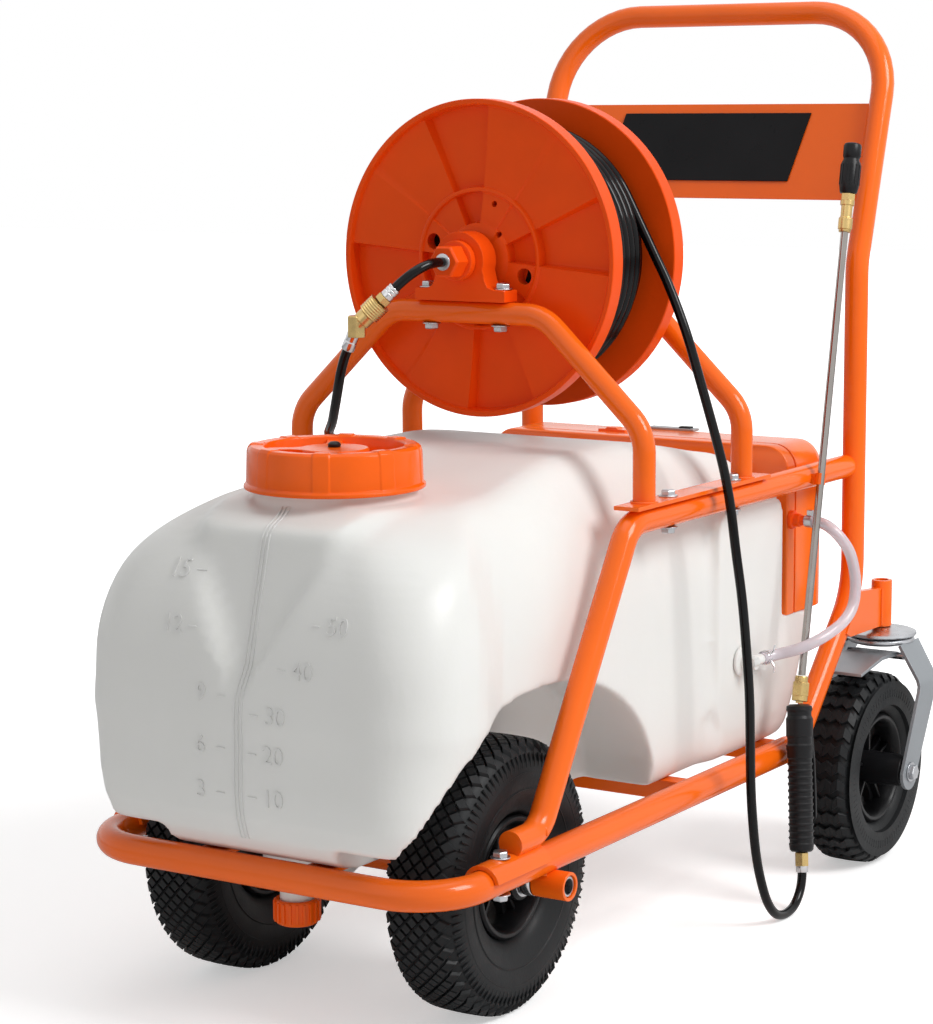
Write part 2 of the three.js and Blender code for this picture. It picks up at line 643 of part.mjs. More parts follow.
// ---------------------------------------------------------------- reel stand
function reelStand() {
  const stripTop = TOP_RAIL_Z + SIDE_TUBE_D / 2 + CLEAR + FOOT_STRIP_T;
  const hoops = [HOOP_FRONT_Y, HOOP_REAR_Y].map((y) => {
    const side = (s) => [[s * RAIL_X, y, stripTop - 2], [s * RAIL_X, y, HOOP_ELBOW_Z],
      [s * HOOP_SHOULDER_X, y, HOOP_TOP_Z]];
    return bentTube([...side(-1), ...side(1).reverse()], HOOP_BEND_R, disc(HOOP_TUBE_D / 2, 10), 25);
  });
  const strips = SIDES.map(([, s]) => block(FOOT_STRIP_W, FOOT_STRIP_Y1 - FOOT_STRIP_Y0, FOOT_STRIP_T,
    s * RAIL_X, (FOOT_STRIP_Y0 + FOOT_STRIP_Y1) / 2, stripTop - FOOT_STRIP_T / 2));
  return union(...hoops, ...strips);
}

// Plummer block: flat feet and an arched body, standing on the hoop.
function bearingBlock(y) {
  const foot = HOOP_TOP_Z + HOOP_TUBE_D / 2 + CLEAR;
  const arch = Array.from({ length: 7 }, (_, i) => rad(30 * i)).map((a) => [
    BLOCK_ARCH_R * Math.cos(a), REEL_Z + BLOCK_ARCH_R * Math.sin(a)]);
  const top = foot + BLOCK_FOOT_T;
  const body = outline([[-BLOCK_HALF_W, foot], [BLOCK_HALF_W, foot], [BLOCK_HALF_W, top],
    [BLOCK_ARCH_R + 8, top + 1], [BLOCK_ARCH_R + 1, top + 7], ...arch,
    [-BLOCK_ARCH_R - 1, top + 7], [-BLOCK_ARCH_R - 8, top + 1], [-BLOCK_HALF_W, top]]);
  const bore = turnedY(rod(SHAFT_D / 2 + CLEAR, -BLOCK_DEPTH, BLOCK_DEPTH), 20, 0, y, REEL_Z);
  return cut(plateXZ(body, BLOCK_DEPTH, y - BLOCK_DEPTH / 2), bore);
}

// ---------------------------------------------------------------- reel
// One moulded flange: thin web on the drum side, rim lip, ring rib, spoke ribs and hub.
function reelFlange() {
  const depth = FLANGE_DEPTH;
  const face = depth - FLANGE_WEB_T;
  const bore = SHAFT_D / 2 + CLEAR;
  const profile = [[bore, depth], [bore, 3], [FLANGE_HUB_R, 3], [FLANGE_HUB_R + 2, face],
    [RING_RIB_R - 1.5, face], [RING_RIB_R, 7], [RING_RIB_R + 1.5, face], [REEL_R - 5, face],
    [REEL_R - 4, 0], [REEL_R, 0], [REEL_R, depth], [bore, depth]];
  const disk = turnedY(profile, 24);
  const [inner, outer, half] = [FLANGE_HUB_R - 4, REEL_R - 3, SPOKE_RIB_T / 2];
  const ribs = Array.from({ length: SPOKE_RIBS }, (_, i) => {
    const rib = plateXZ(outline([[inner, -half], [outer, -half], [outer, half], [inner, half]]), face - 5, 6);
    return rib.rotateY(rad((360 / SPOKE_RIBS) * (i + 0.25)));
  });
  const hole = (angle) => {
    const [r, reach] = [8, DRUM_R + 3];
    return turnedY(rod(r, -5, depth + 5), 8, reach * Math.cos(rad(angle)), 0, reach * Math.sin(rad(angle)));
  };
  return cut(union(disk, ...ribs), hole(163), hole(-17));
}

const frontFlange = () => toGeometry(reelFlange()).translate(0, REEL_FRONT_Y, REEL_Z);
const rearFlange = () => toGeometry(reelFlange()).scale(1, -1, 1).translate(0, REEL_REAR_Y, REEL_Z);
const webFront = REEL_FRONT_Y + FLANGE_DEPTH;
const webRear = REEL_REAR_Y - FLANGE_DEPTH;

function reelDrum() {
  return turnedY(pipe(DRUM_R, SHAFT_D / 2 + CLEAR, webFront + CLEAR, webRear - CLEAR), 16, 0, 0, REEL_Z);
}

function reelShaft() {
  const r = SHAFT_D / 2;
  const front = HOOP_FRONT_Y - BLOCK_DEPTH / 2 + 1;
  const rear = HOOP_REAR_Y + BLOCK_DEPTH / 2 + 12;
  const [collar0, collar1] = [REEL_REAR_Y + CLEAR, HOOP_REAR_Y - BLOCK_DEPTH / 2 - CLEAR];
  return turnedY([[0, front], [r, front], [r, collar0], [SHAFT_COLLAR_R, collar0], [SHAFT_COLLAR_R, collar1],
    [r, collar1], [r, rear], [0, rear]], 12, 0, 0, REEL_Z);
}

const crankY = HOOP_REAR_Y + BLOCK_DEPTH / 2 + CLEAR;

function crankArm() {
  const ends = (cx, r, from) => Array.from({ length: 7 }, (_, i) => {
    const a = rad(from + 30 * i);
    return [cx + r * Math.cos(a), REEL_Z + r * Math.sin(a)];
  });
  const arm = outline([...ends(0, 20, -90), ...ends(-CRANK_LENGTH, 11, 90)]);
  const pin = turnedY(rod(CRANK_PIN_R, 0, CRANK_T + CRANK_PIN_LENGTH), 12, -CRANK_LENGTH, crankY + 2, REEL_Z);
  const seat = turnedY(rod(SHAFT_D / 2 + CLEAR, -5, 30), 20, 0, crankY, REEL_Z);
  return cut(union(plateXZ(arm, CRANK_T, crankY), pin), seat);
}

function crankKnob() {
  const bore = CRANK_PIN_R + CLEAR;
  const length = CRANK_PIN_LENGTH - 5;
  const profile = [[bore, 0], [11, 0], [12, 6], [14, 34], [15, 60], [13, length - 4], [bore, length],
    [bore, 0]];
  return turnedY(profile, 12, -CRANK_LENGTH, crankY + CRANK_T + CLEAR, REEL_Z);
}

// Hose swivel: hexagon nut in front of the shaft's end.
const swivelRear = HOOP_FRONT_Y - BLOCK_DEPTH / 2 - CLEAR;
const swivelFront = swivelRear - SWIVEL_NUT_LENGTH;

function swivelNut() {
  return turnedY([[0, swivelFront], [14, swivelFront], [17, swivelFront + 3], [17, swivelRear - 8],
    [20, swivelRear - 8], [20, swivelRear], [0, swivelRear]], 6, 0, 0, REEL_Z);
}

// ---------------------------------------------------------------- hose on the reel
function hoseCore() {
  const chordDip = WOUND_R * (1 - Math.cos(Math.PI / STEPS_PER_LOOP));
  const outer = WOUND_R - chordDip - HOSE_D / 2 - CLEAR;
  return turnedY(pipe(outer, DRUM_R + CLEAR, webFront + CLEAR, webRear - CLEAR), 16, 0, 0, REEL_Z);
}

const windingStart = webFront + 2 * CLEAR + HOSE_D / 2;

// Centre line of the outer layer: turns side by side, the last one leaving them on a straight
// run, so that the hose that hangs from it stays outside the turns when the reel goes round.
function windingStations() {
  const steps = WOUND_LOOPS * STEPS_PER_LOOP;
  const rise = WOUND_PITCH / (2 * Math.PI);
  const stations = Array.from({ length: steps + 1 }, (_, i) => {
    const angle = rad(TAIL_ANGLE) + ((steps - i) / STEPS_PER_LOOP) * 2 * Math.PI;
    return {
      at: v(WOUND_R * Math.cos(angle), windingStart + (i / STEPS_PER_LOOP) * WOUND_PITCH,
        REEL_Z + WOUND_R * Math.sin(angle)),
      along: v(WOUND_R * Math.sin(angle), rise, -WOUND_R * Math.cos(angle)).normalize(),
    };
  });
  const leave = stations[steps];
  const tail = { at: leave.at.clone().addScaledVector(leave.along, TAIL_RUN), along: leave.along };
  return [...stations, tail];
}

const winding = windingStations();

// Least gap between one turn's skin and the next, on the centre line's own points.
function leastWindingGap() {
  let least = Infinity;
  for (let i = 0; i < winding.length; i++) {
    for (let j = i + STEPS_PER_LOOP / 2; j < winding.length; j++) {
      least = Math.min(least, winding[i].at.distanceTo(winding[j].at) - HOSE_D);
    }
  }
  return least;
}

// ---------------------------------------------------------------- hoses
const windingTail = winding[winding.length - 1];
const tailStart = windingTail.at.clone().addScaledVector(windingTail.along, CLEAR);
const tailRun = tailStart.clone().addScaledVector(windingTail.along, 30);

const deliveryRoute = [
  tailStart.toArray(), tailRun.toArray(), [177, 308, 613], [190, 308, 575], [202, 307, 540],
  [213, 306, 507], [222, 305, 478], [229, 305, 446], [235, 307, 398], [240, 312, 348],
  [243, 316, 300], [246, 318, 250], [247, 319, 200], [247, 321, 160], [247, 326, 122], [247, 335, 82],
  [247, 347, 52], [247, 362, 27], [247, 380, 11], [247, 396, 5.6], [247, 408.6, 5], [246.8, 421.6, 7.3],
  [246.5, 433, 13.9], [246, 441.5, 24], [245.3, 445.7, 35.5], GRIP_END,
];

const clearRoute = [
  [201, 536, 395], [211, 536, 395], [222, 534, 394], [233, 531, 390], [243, 534, 380], [250, 541, 365],
  [253, 547, 346], [254, 549, 326], [254, 543, 307], [252, 528, 294], [247, 508, 285], [240, 490, 278],
  [226, 474, 270], [207, 465, 264], [199, 454, 262], [198, 440, 262],
];

const feedRoute = [
  [-69.4, 78.9, 601], [-73.6, 79.2, 592], [-80, 82, 577], [-88, 88, 559], [-98, 97, 541], [-110, 109.5, 526],
  [-125, 126, 516], [-143, 150, 508], [-157, 182, 495], [-166, 216, 483], [-170, 260, 475], [-170, 320, 470],
  [-170, 380, 466], [-168, 440, 461], [-165, 485, 456], [-164, 510, 454], [-164, TANK_REAR_Y + 2, 454],
];

const hubHoseRoute = [
  [0, swivelFront - CLEAR, REEL_Z], [0, 130.4, REEL_Z], [-0.9, 120.6, 683.1], [-3.6, 111.4, 680.4],
  [-7.8, 103.5, 676], [-13.3, 97.5, 670.4], [-19.7, 93.7, 663.9], [-21.7, 92.9, 661.8],
];

// ---------------------------------------------------------------- tank
// Half width of the tank at a distance from the axle: full in the nose, in between the rails
// behind it, with the step of the rear block.
function tankHalfWidth(y, inset) {
  const waist = TANK_HALF_W - TANK_WAIST;
  const nose = waist + (TANK_NOSE_HALF_W - waist) * (1 - smooth((y + 110) / 80));
  const step = TANK_WAIST * smooth((y - TANK_STEP_Y) / 6);
  return nose + step - inset;
}

// Height of the crown of the tank along its length.
function tankCrown(y) {
  const rise = TANK_CROWN_RISE * smooth((y - 10) / 150);
  return TANK_CROWN_Z + rise - TANK_CROWN_FALL * smooth((y - 250) / 280);
}

// Depth of the tapered recess in the nose under the filler neck.
function noseRecess(x, z) {
  const reach = (z - TANK_SHOULDER_Z - 5) * 0.72;
  if (reach <= 0) return 0;
  const depth = 24 * smooth((z - TANK_SHOULDER_Z - 5) / 70);
  return depth * Math.max(0, 1 - Math.abs(x) / reach);
}

// One horizontal ring: half of it from the nose to the tail, then its mirror image.
function tankRing({ z, front, rear, inset, noseR, tailR, skin, crown = 0 }) {
  const cornerSteps = skin ? 3 : 4;
  const points = [];
  const widthAt = (y) => tankHalfWidth(y, inset);
  const noseHalf = widthAt(front + noseR);
  for (const share of skin ? [0, 0.4] : [0, 0.3, 0.62]) points.push([share * (noseHalf - noseR), front]);
  for (let i = 0; i <= cornerSteps; i++) {
    const a = rad((90 * i) / cornerSteps);
    points.push([noseHalf - noseR + noseR * Math.sin(a), front + noseR - noseR * Math.cos(a)]);
  }
  const sideStart = front + noseR;
  for (const share of skin ? [0.34, 1] : [0.34, 0.68, 1]) {
    const y = sideStart + share * (150 - sideStart);
    points.push([widthAt(y), y]);
  }
  const behind = skin ? [TANK_STEP_Y + 32] : [TANK_STEP_Y, TANK_STEP_Y + 6, TANK_STEP_Y + 82];
  for (const y of behind) points.push([widthAt(y), y]);
  for (const a of [0, 45, 90].map(rad)) {
    points.push([widthAt(rear - tailR) - tailR + tailR * Math.cos(a), rear - tailR + tailR * Math.sin(a)]);
  }
  points.push([0.5 * (widthAt(rear) - tailR), rear], [0, rear]);
  const lift = (y) => (crown ? z + crown * (tankCrown(y) - z) : z);
  const ring = points.map(([x, y]) => {
    const height = lift(y);
    return v(x, y + noseRecess(x, height) * (y < front + noseR ? 1 : 0), height);
  });
  const mirror = ring.slice(1, -1).reverse().map((p) => v(-p.x, p.y, p.z));
  return [...ring, ...mirror];
}

// Closed body of the tank; skin is how far it lies inside the outer surface.
function tankBody(skin, crownAngles) {
  const bottom = TANK_BOTTOM_Z + skin;
  const side = { noseR: TANK_NOSE_R - skin, tailR: TANK_TAIL_R, skin };
  const rings = [];
  const low = (z, front, rear, inset) => rings.push(tankRing({ ...side, z, front: front + skin,
    rear: rear - skin, inset: inset + skin }));
  low(bottom, TANK_FRONT_Y + TANK_NOSE_R, TANK_LEDGE_Y - 70, 14);
  low(bottom + 5, TANK_FRONT_Y + 36, TANK_LEDGE_Y - 58, 4);
  low(bottom + 20, TANK_FRONT_Y + 15, TANK_LEDGE_Y - 46, 1);
  low(bottom + 60, TANK_FRONT_Y + 3, TANK_LEDGE_Y - 24, 0);
  const ledge = TANK_LEDGE_Z - skin;
  low(ledge - 10, TANK_FRONT_Y, TANK_LEDGE_Y, 0);
  low(ledge, TANK_FRONT_Y, TANK_LEDGE_Y - 6, 0);
  low(ledge, TANK_FRONT_Y, TANK_REAR_Y + 2, 0);
  low(ledge + 8, TANK_FRONT_Y + 0.5, TANK_REAR_Y, 0);
  for (const angle of crownAngles) {
    const [s, c] = [Math.sin(rad(angle)), Math.cos(rad(angle))];
    rings.push(tankRing({ z: TANK_SHOULDER_Z, crown: s, inset: skin + 66 * (1 - c),
      front: TANK_FRONT_Y + skin + 132 * (1 - c), rear: TANK_REAR_Y - skin - 40 * (1 - c),
      noseR: TANK_NOSE_R - skin + 26 * (1 - c), tailR: TANK_TAIL_R, skin }));
  }
  return loft(rings);
}

// Room for a front wheel under the tank, with the nose's underside in front of it.
function wheelArch(side, grown) {
  const [centreY, halfLength] = [34, 216 + grown];
  const [noseY, noseZ] = [TANK_FRONT_Y - TANK_NOSE_R, TANK_BOTTOM_Z + 33 + grown];
  const under = RAIL_Z - 74;
  const steps = grown ? 4 : 8;
  const sweepArc = Array.from({ length: steps + 1 }, (_, i) => rad(170 - (160 * i) / steps)).map((a) => [
    centreY + halfLength * Math.cos(a), TANK_BOTTOM_Z + (ARCH_TOP_Z - TANK_BOTTOM_Z + grown) * Math.sin(a)]);
  const room = outline([[noseY, under], [noseY, noseZ], ...sweepArc, [centreY + halfLength, under]]);
  const depth = 160;
  const inner = BELLY_HALF_W - grown;
  return plateYZ(room, depth, side > 0 ? inner : -inner - depth);
}

function tank() {
  const arches = [1, -1].map((side) => wheelArch(side, 0));
  const innerArches = [1, -1].map((side) => wheelArch(side, TANK_WALL));
  const sumpFoot = TANK_BOTTOM_Z - SUMP_DEPTH;
  const sump = turned([[0, sumpFoot], [SUMP_R - 12, sumpFoot], [SUMP_R, sumpFoot + 12],
    [SUMP_R + 6, TANK_BOTTOM_Z + 20], [0, TANK_BOTTOM_Z + 20]], 16, 0, DRAIN_Y + 27);
  const drainNeck = turned(rod(DRAIN_CAP_R - 6, DRAIN_CAP_Z + 10, TANK_BOTTOM_Z), 16, 0, DRAIN_Y);
  const neckFoot = TANK_CROWN_Z - 38;
  const flareR = NECK_R + NECK_FLARE;
  const neck = turned([[0, neckFoot], [flareR, neckFoot], [flareR - 2, TANK_CROWN_Z - 8],
    [NECK_R, TANK_CROWN_Z], [NECK_R, NECK_TOP_Z], [0, NECK_TOP_Z]], 24, 0, NECK_Y);
  const skin = cut(tankBody(0, [14, 30, 46, 62, 78, 90]), ...arches);
  const hollow = cut(tankBody(TANK_WALL, [28, 70]), ...innerArches);
  const mouth = turned(rod(MOUTH_R, neckFoot - 10, NECK_TOP_Z + 10), 24, 0, NECK_Y);
  return cut(union(skin, sump, drainNeck, neck), hollow, mouth);
}

// Screw lid: skirt with grip facets, dished top and three spokes to a centre boss.
const lidBossTop = LID_TOP_Z - 4;

function tankLid() {
  const [base, dish] = [NECK_TOP_Z + CLEAR, LID_TOP_Z - LID_DISH];
  const [inner, hem] = [NECK_R + CLEAR + 0.6, base - LID_SKIRT];
  const skirt = turned([[inner, hem], [LID_R, hem], [LID_R - 2.5, hem + 5], [LID_R - 3.5, LID_TOP_Z - 4],
    [LID_R - 6, LID_TOP_Z], [LID_R - 18, LID_TOP_Z], [LID_R - 20, dish], [20, dish], [18, lidBossTop],
    [0, lidBossTop], [0, base], [inner, base], [inner, hem]], 24, 0, NECK_Y);
  const [length, width, height] = [LID_R - 24, 15, 11];
  const spokes = [90, 210, 330].map((angle) => block(length, width, height, length / 2 + 8, 0,
    lidBossTop - height / 2).rotateZ(rad(angle)).translate(0, NECK_Y, 0));
  return union(skirt, ...spokes);
}

function lidVent() {
  return turned([[0, 0], [6, 0], [6, 3], [3.5, 5], [0, 5]], 12, 0, NECK_Y, lidBossTop + CLEAR);
}

function drainCap() {
  const grips = 8;
  const [bottom, top] = [DRAIN_CAP_Z, DRAIN_CAP_Z + 24];
  const [seat, inner] = [DRAIN_CAP_Z + 10 - CLEAR, DRAIN_CAP_R - 6 + CLEAR];
  const body = turned([[inner, top], [inner, seat], [0, seat], [0, bottom], [DRAIN_CAP_R - 4, bottom],
    [DRAIN_CAP_R - 1, bottom + 3], [DRAIN_CAP_R - 1, top], [inner, top]], 2 * grips, 0, DRAIN_Y);
  const ribs = Array.from({ length: grips }, (_, i) => block(5, 4, 18, DRAIN_CAP_R - 2, 0, top - 12)
    .rotateZ((2 * Math.PI * i) / grips).translate(0, DRAIN_Y, 0));
  return union(body, ...ribs);
}

// ---------------------------------------------------------------- pump box
function pumpBox() {
  const front = TANK_REAR_Y + 2 + CLEAR;
  const r = BOX_CORNER_R;
  const corner = (cx, cz, from) => [0, 30, 60, 90].map((d) => [cx + r * Math.cos(rad(from + d)),
    cz + r * Math.sin(rad(from + d))]);
  const bottom = TANK_LEDGE_Z + CLEAR;
  const face = outline([[-BOX_HALF_W, bottom], [BOX_HALF_W, bottom],
    ...corner(BOX_HALF_W - r, BOX_TOP_Z - r, 0), ...corner(-BOX_HALF_W + r, BOX_TOP_Z - r, 90)]);
  const slab = plateXZ(face, BOX_REAR_Y - front, front);
  const side = outline([[front, bottom], [BOX_REAR_Y - 14, bottom], [BOX_REAR_Y - 3, bottom + 8],
    [BOX_REAR_Y, bottom + r], [BOX_REAR_Y, BOX_TOP_Z - r + 2], [BOX_REAR_Y - 7, BOX_TOP_Z - 6],
    [BOX_REAR_Y - r, BOX_TOP_Z], [front, BOX_TOP_Z]]);
  const body = common(slab, plateYZ(side, 2 * BOX_HALF_W + 20, -BOX_HALF_W - 10));
  const height = BOX_TOP_Z - bottom;
  const grooves = [1, -1].map((s) => block(4, 3, 2 * height, s * (BOX_HALF_W + 1), front + 13, BOX_TOP_Z));
  return cut(body, ...grooves);
}

// ---------------------------------------------------------------- fittings
// A hose barb elbow on the tank's side, its spigot pointing back along the cart.
function tankOutlet() {
  const [x, y, z] = [TANK_HALF_W + 14, 418, 262];
  const [pipeR, barbR, barbEnd] = [7, 5.2, 21.4];
  const flange = turnedX(rod(15, TANK_HALF_W + CLEAR, TANK_HALF_W + 4), 12, 0, y, z);
  const stem = turnedX(rod(pipeR, TANK_HALF_W + 2, x + 6), 8, 0, y, z);
  const spigot = turnedY([[0, -6], [pipeR, -6], [pipeR, 5], [barbR, 6], [barbR, barbEnd], [0, barbEnd]],
    8, x, y, z);
  return union(flange, stem, spigot);
}

function boxInlet() {
  const [wall, end] = [BOX_HALF_W + CLEAR, BOX_HALF_W + 16.7];
  const [bossR, pipeR, barbR] = [10, 7, 5.2];
  const body = [[0, wall], [bossR, wall], [bossR, wall + 3.7], [pipeR, wall + 4.7], [pipeR, wall + 10.7],
    [barbR, wall + 11.7], [barbR, end], [0, end]];
  return turnedX(body, 12, 0, clearRoute[0][1], clearRoute[0][2]);
}

// Crimped ferrule, quick coupler and elbow between the reel's hub hose and the pump's hose.
function feedCoupler() {
  const from = v(...hubHoseRoute[hubHoseRoute.length - 1]);
  const along = v(-0.676, -0.259, -0.69);
  const [ferruleR, collarR, tailR, length] = [6.5, 11.5, 9, 54];
  const profile = [[0, CLEAR], [ferruleR, CLEAR], [ferruleR, 14], [8, 15], [8, 19], [collarR, 22],
    [collarR, 36], [tailR, 38], [tailR, length], [0, length]];
  const corner = from.clone().addScaledVector(along, length);
  const barrel = aimed(turned(profile, 10), from.toArray(), along);
  const elbow = turned(rod(tailR + 0.5, -12, 10), 6, corner.x, corner.y, corner.z);
  const hoseEnd = v(...feedRoute[0]);
  const outlet = aimed(turned(rod(ferruleR, CLEAR, hoseEnd.distanceTo(corner)), 10), feedRoute[0],
    corner.clone().sub(hoseEnd));
  return union(barrel, elbow, outlet);
}

// ---------------------------------------------------------------- spray lance
const lanceAxis = v(...LANCE_TOP).sub(v(...GRIP_TOP));
const gripAxis = v(...GRIP_TOP).sub(v(...GRIP_END));

// Stands a turned solid on a point, its axis along a direction.
function aimed(geometry, start, axis) {
  const q = new THREE.Quaternion().setFromUnitVectors(v(0, 0, 1), axis.clone().normalize());
  return toGeometry(geometry).applyMatrix4(new THREE.Matrix4().makeRotationFromQuaternion(q))
    .translate(...start);
}

const lanceLength = lanceAxis.length();
const gripLength = gripAxis.length();

function lanceTube() {
  const tube = rod(LANCE_TUBE_D / 2, NUT_TOP + CLEAR, lanceLength - NOZZLE_LENGTH);
  return aimed(turned(tube, 12), GRIP_TOP, lanceAxis);
}

const headFoot = lanceLength - NOZZLE_LENGTH + 8; // where the nozzle's black head begins

function lanceNozzle() {
  const [t, end] = [LANCE_TUBE_D / 2 + CLEAR, lanceLength];
  const [foot, seat] = [end - 95, end - NOZZLE_LENGTH + CLEAR];
  return aimed(turned([[t, foot], [6.5, foot], [7.5, foot + 3], [7.5, end - 80], [6, end - 78],
    [6, end - 66], [8, end - 64], [8, headFoot], [0, headFoot], [0, seat], [t, seat], [t, foot]], 12),
  GRIP_TOP, lanceAxis);
}

function nozzleHead() {
  const end = lanceLength;
  const foot = headFoot + CLEAR;
  return aimed(turned([[0, foot], [9, foot], [10.5, foot + 7.7], [10.5, end - 22], [8.5, end - 18],
    [9.5, end - 14], [9.5, end - 3], [7, end], [0, end]], 10), GRIP_TOP, lanceAxis);
}

function gripNut() {
  return aimed(turned([[0, 0], [4, 0], [4, 2], [8, 3], [8, 8], [9.5, 10], [9.5, 22], [7, 24],
    [6.5, NUT_TOP], [0, NUT_TOP]], 6), GRIP_TOP, lanceAxis);
}

function gripBody() {
  const l = gripLength;
  const [foot, top] = [FITTING_LENGTH, l - GRIP_GAP];
  const handle = turned([[0, foot], [GRIP_R - 3, foot], [GRIP_R - 1, foot + 4], [GRIP_R - 2, 60],
    [GRIP_R - 1, 100], [GRIP_R - 1.5, l - 50], [GRIP_R, l - 42], [GRIP_R, l - 14], [10, top], [0, top]], 12);
  return aimed(handle, GRIP_END, gripAxis);
}

// Lever in front of the grip; its inner face falls away below the pivot, to leave it room.
function gripTrigger() {
  const l = gripLength;
  const face = GRIP_R + CLEAR;
  const lever = plateYZ(outline([[face, l - 18], [20, l - 22], [28, l - 60], [30, l - 118], [26, l - 122],
    [24, l - 62], [face + 1.3, l - 38], [face, l - 28]]), 10, -5);
  return aimed(lever, GRIP_END, gripAxis);
}

function gripFitting() {
  const [nutR, ferruleR, ferruleEnd] = [7.5, 6.5, 9];
  const nut = turned(rod(nutR, ferruleEnd - 2, FITTING_LENGTH - CLEAR), 6);
  return aimed(union(nut, turned(rod(ferruleR, CLEAR, ferruleEnd), 12)), GRIP_END, gripAxis);
}

// Spring clip on the outside of the right top rail, open outwards round the lance.
function lanceClip() {
  const share = (TOP_RAIL_Z - GRIP_TOP[2]) / (LANCE_TOP[2] - GRIP_TOP[2]);
  const at = v(...GRIP_TOP).lerp(v(...LANCE_TOP), share);
  const inner = LANCE_TUBE_D / 2 + CLEAR;
  const [sheet, width] = [1.6, 12];
  const angles = Array.from({ length: 10 }, (_, i) => rad(60 + (240 * i) / 9));
  const arc = (r) => angles.map((a) => [r * Math.cos(a), r * Math.sin(a)]);
  const ring = outline([...arc(inner + sheet), ...arc(inner).reverse()]);
  const wrap = new THREE.ExtrudeGeometry(ring, { depth: width, bevelEnabled: false });
  const seated = aimed(wrap.translate(0, 0, -width / 2), at.toArray(), lanceAxis);
  const end = at.x - inner - sheet / 2;
  const stub = block(end - RAIL_X, 5, width - 1, (RAIL_X + end) / 2, at.y, TOP_RAIL_Z);
  const railRoom = turnedY(rod(SIDE_TUBE_D / 2 + CLEAR, 0, HANDLE_Y), 14, RAIL_X, 0, TOP_RAIL_Z);
  return cut(union(seated, stub), railRoom);
}

// ---------------------------------------------------------------- assembly
add("base_frame", baseFrame(), ORANGE_PAINT());
for (const [name, side] of SIDES) add(`side_frame_${name}`, onSide(sideFrame(), side), ORANGE_PAINT());
add("handle_frame", handleFrame(), ORANGE_PAINT());
add("handle_panel", handlePanel(), ORANGE_PAINT());
add("label_plate", labelPlate(), BLACK_PLASTIC());
add("front_axle", frontAxle(), ZINC());
add("axle_spacer", axleSpacer(), ORANGE_PAINT());
for (const [name, side] of SIDES) {
  const place = [side * WHEEL_TRACK / 2, 0, WHEEL_R];
  add(`front_tyre_${name}`, tyre(WHEEL_R, TYRE_W, RIM_R, 26).translate(...place), BLACK_RUBBER());
  const frontRim = toGeometry(rim(TYRE_W, RIM_R, RIM_HUB_R, RIM_HUB_HALF, AXLE_D / 2 + CLEAR, 16));
  add(`front_rim_${name}`, frontRim.translate(...place), BLACK_PLASTIC());
}
for (const [name, side] of SIDES) {
  const place = [side * CASTER_X, CASTER_Y - CASTER_TRAIL, CASTER_R];
  add(`caster_bracket_${name}`, onSide(casterBracket(), side), ORANGE_PAINT());
  add(`caster_head_${name}`, onSide(casterHead(), side), ZINC());
  add(`caster_fork_${name}`, onSide(casterFork(), side), ZINC());
  add(`caster_axle_${name}`, onSide(casterAxle(), side), ZINC());
  add(`caster_tyre_${name}`, tyre(CASTER_R, CASTER_TYRE_W, CASTER_RIM_R, 24).translate(...place),
    BLACK_RUBBER());
  const casterRim = toGeometry(rim(CASTER_TYRE_W, CASTER_RIM_R, CASTER_HUB_R, FORK_HALF_W - FORK_T - CLEAR,
    CASTER_AXLE_R + CLEAR, 16));
  add(`caster_rim_${name}`, casterRim.translate(...place), BLACK_PLASTIC());
  add(`caster_brake_${name}`, onSide(casterBrake(), side), ZINC());
}
add("reel_stand", reelStand(), ORANGE_PAINT());
add("bearing_block_front", bearingBlock(HOOP_FRONT_Y), ORANGE_PLASTIC());
add("bearing_block_rear", bearingBlock(HOOP_REAR_Y), ORANGE_PLASTIC());
add("reel_flange_front", frontFlange(), ORANGE_PLASTIC());
add("reel_flange_rear", rearFlange(), ORANGE_PLASTIC());
add("reel_drum", reelDrum(), ORANGE_PLASTIC());
add("reel_shaft", reelShaft(), ZINC());
add("crank_arm", crankArm(), ORANGE_PAINT());
add("crank_knob", crankKnob(), BLACK_PLASTIC());
add("swivel_nut", swivelNut(), ORANGE_PLASTIC());
add("hose_core", hoseCore(), BLACK_RUBBER());
add("hose_winding", sweep(winding, disc(HOSE_D / 2, 6)), BLACK_RUBBER());
add("delivery_hose", softTube(deliveryRoute, HOSE_D, 8, 38), BLACK_RUBBER());
add("hub_hose", softTube(hubHoseRoute, HOSE_D, 8, 6), BLACK_RUBBER());
add("feed_coupler", feedCoupler(), BRASS());
add("feed_hose", softTube(feedRoute, HOSE_D, 8, 20), BLACK_RUBBER());
add("clear_hose", softTube(clearRoute, CLEAR_HOSE_D, 8, 20), CLEAR_PVC());
add("tank_outlet", tankOutlet(), MILKY_PLASTIC());
add("box_inlet", boxInlet(), BRASS());
add("tank", tank(), MILKY_PLASTIC());
add("tank_lid", tankLid(), ORANGE_PLASTIC());
add("lid_vent", lidVent(), BLACK_PLASTIC());
add("drain_cap", drainCap(), ORANGE_PLASTIC());
add("pump_box", pumpBox(), ORANGE_PLASTIC());
add("lance_tube", lanceTube(), CHROME());
add("lance_nozzle", lanceNozzle(), BRASS());
add("nozzle_head", nozzleHead(), BLACK_PLASTIC());
add("grip_nut", gripNut(), BRASS());
add("grip_body", gripBody(), BLACK_PLASTIC());
add("grip_trigger", gripTrigger(), BLACK_PLASTIC());
add("grip_fitting", gripFitting(), BRASS());
add("lance_clip", lanceClip(), ORANGE_PAINT());

console.log(`hose winding: least gap to itself ${leastWindingGap().toFixed(2)} mm`);

export default root;
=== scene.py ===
"""Looks of the wheeled sprayer cart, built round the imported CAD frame. The scene is in metres, +Z up.
Sizes and places are written in millimetres from the middle of the front axle, on the floor."""
from math import ceil, cos, degrees, pi, radians, sin, tan

import bmesh
import bpy
from mathutils import Matrix, Vector


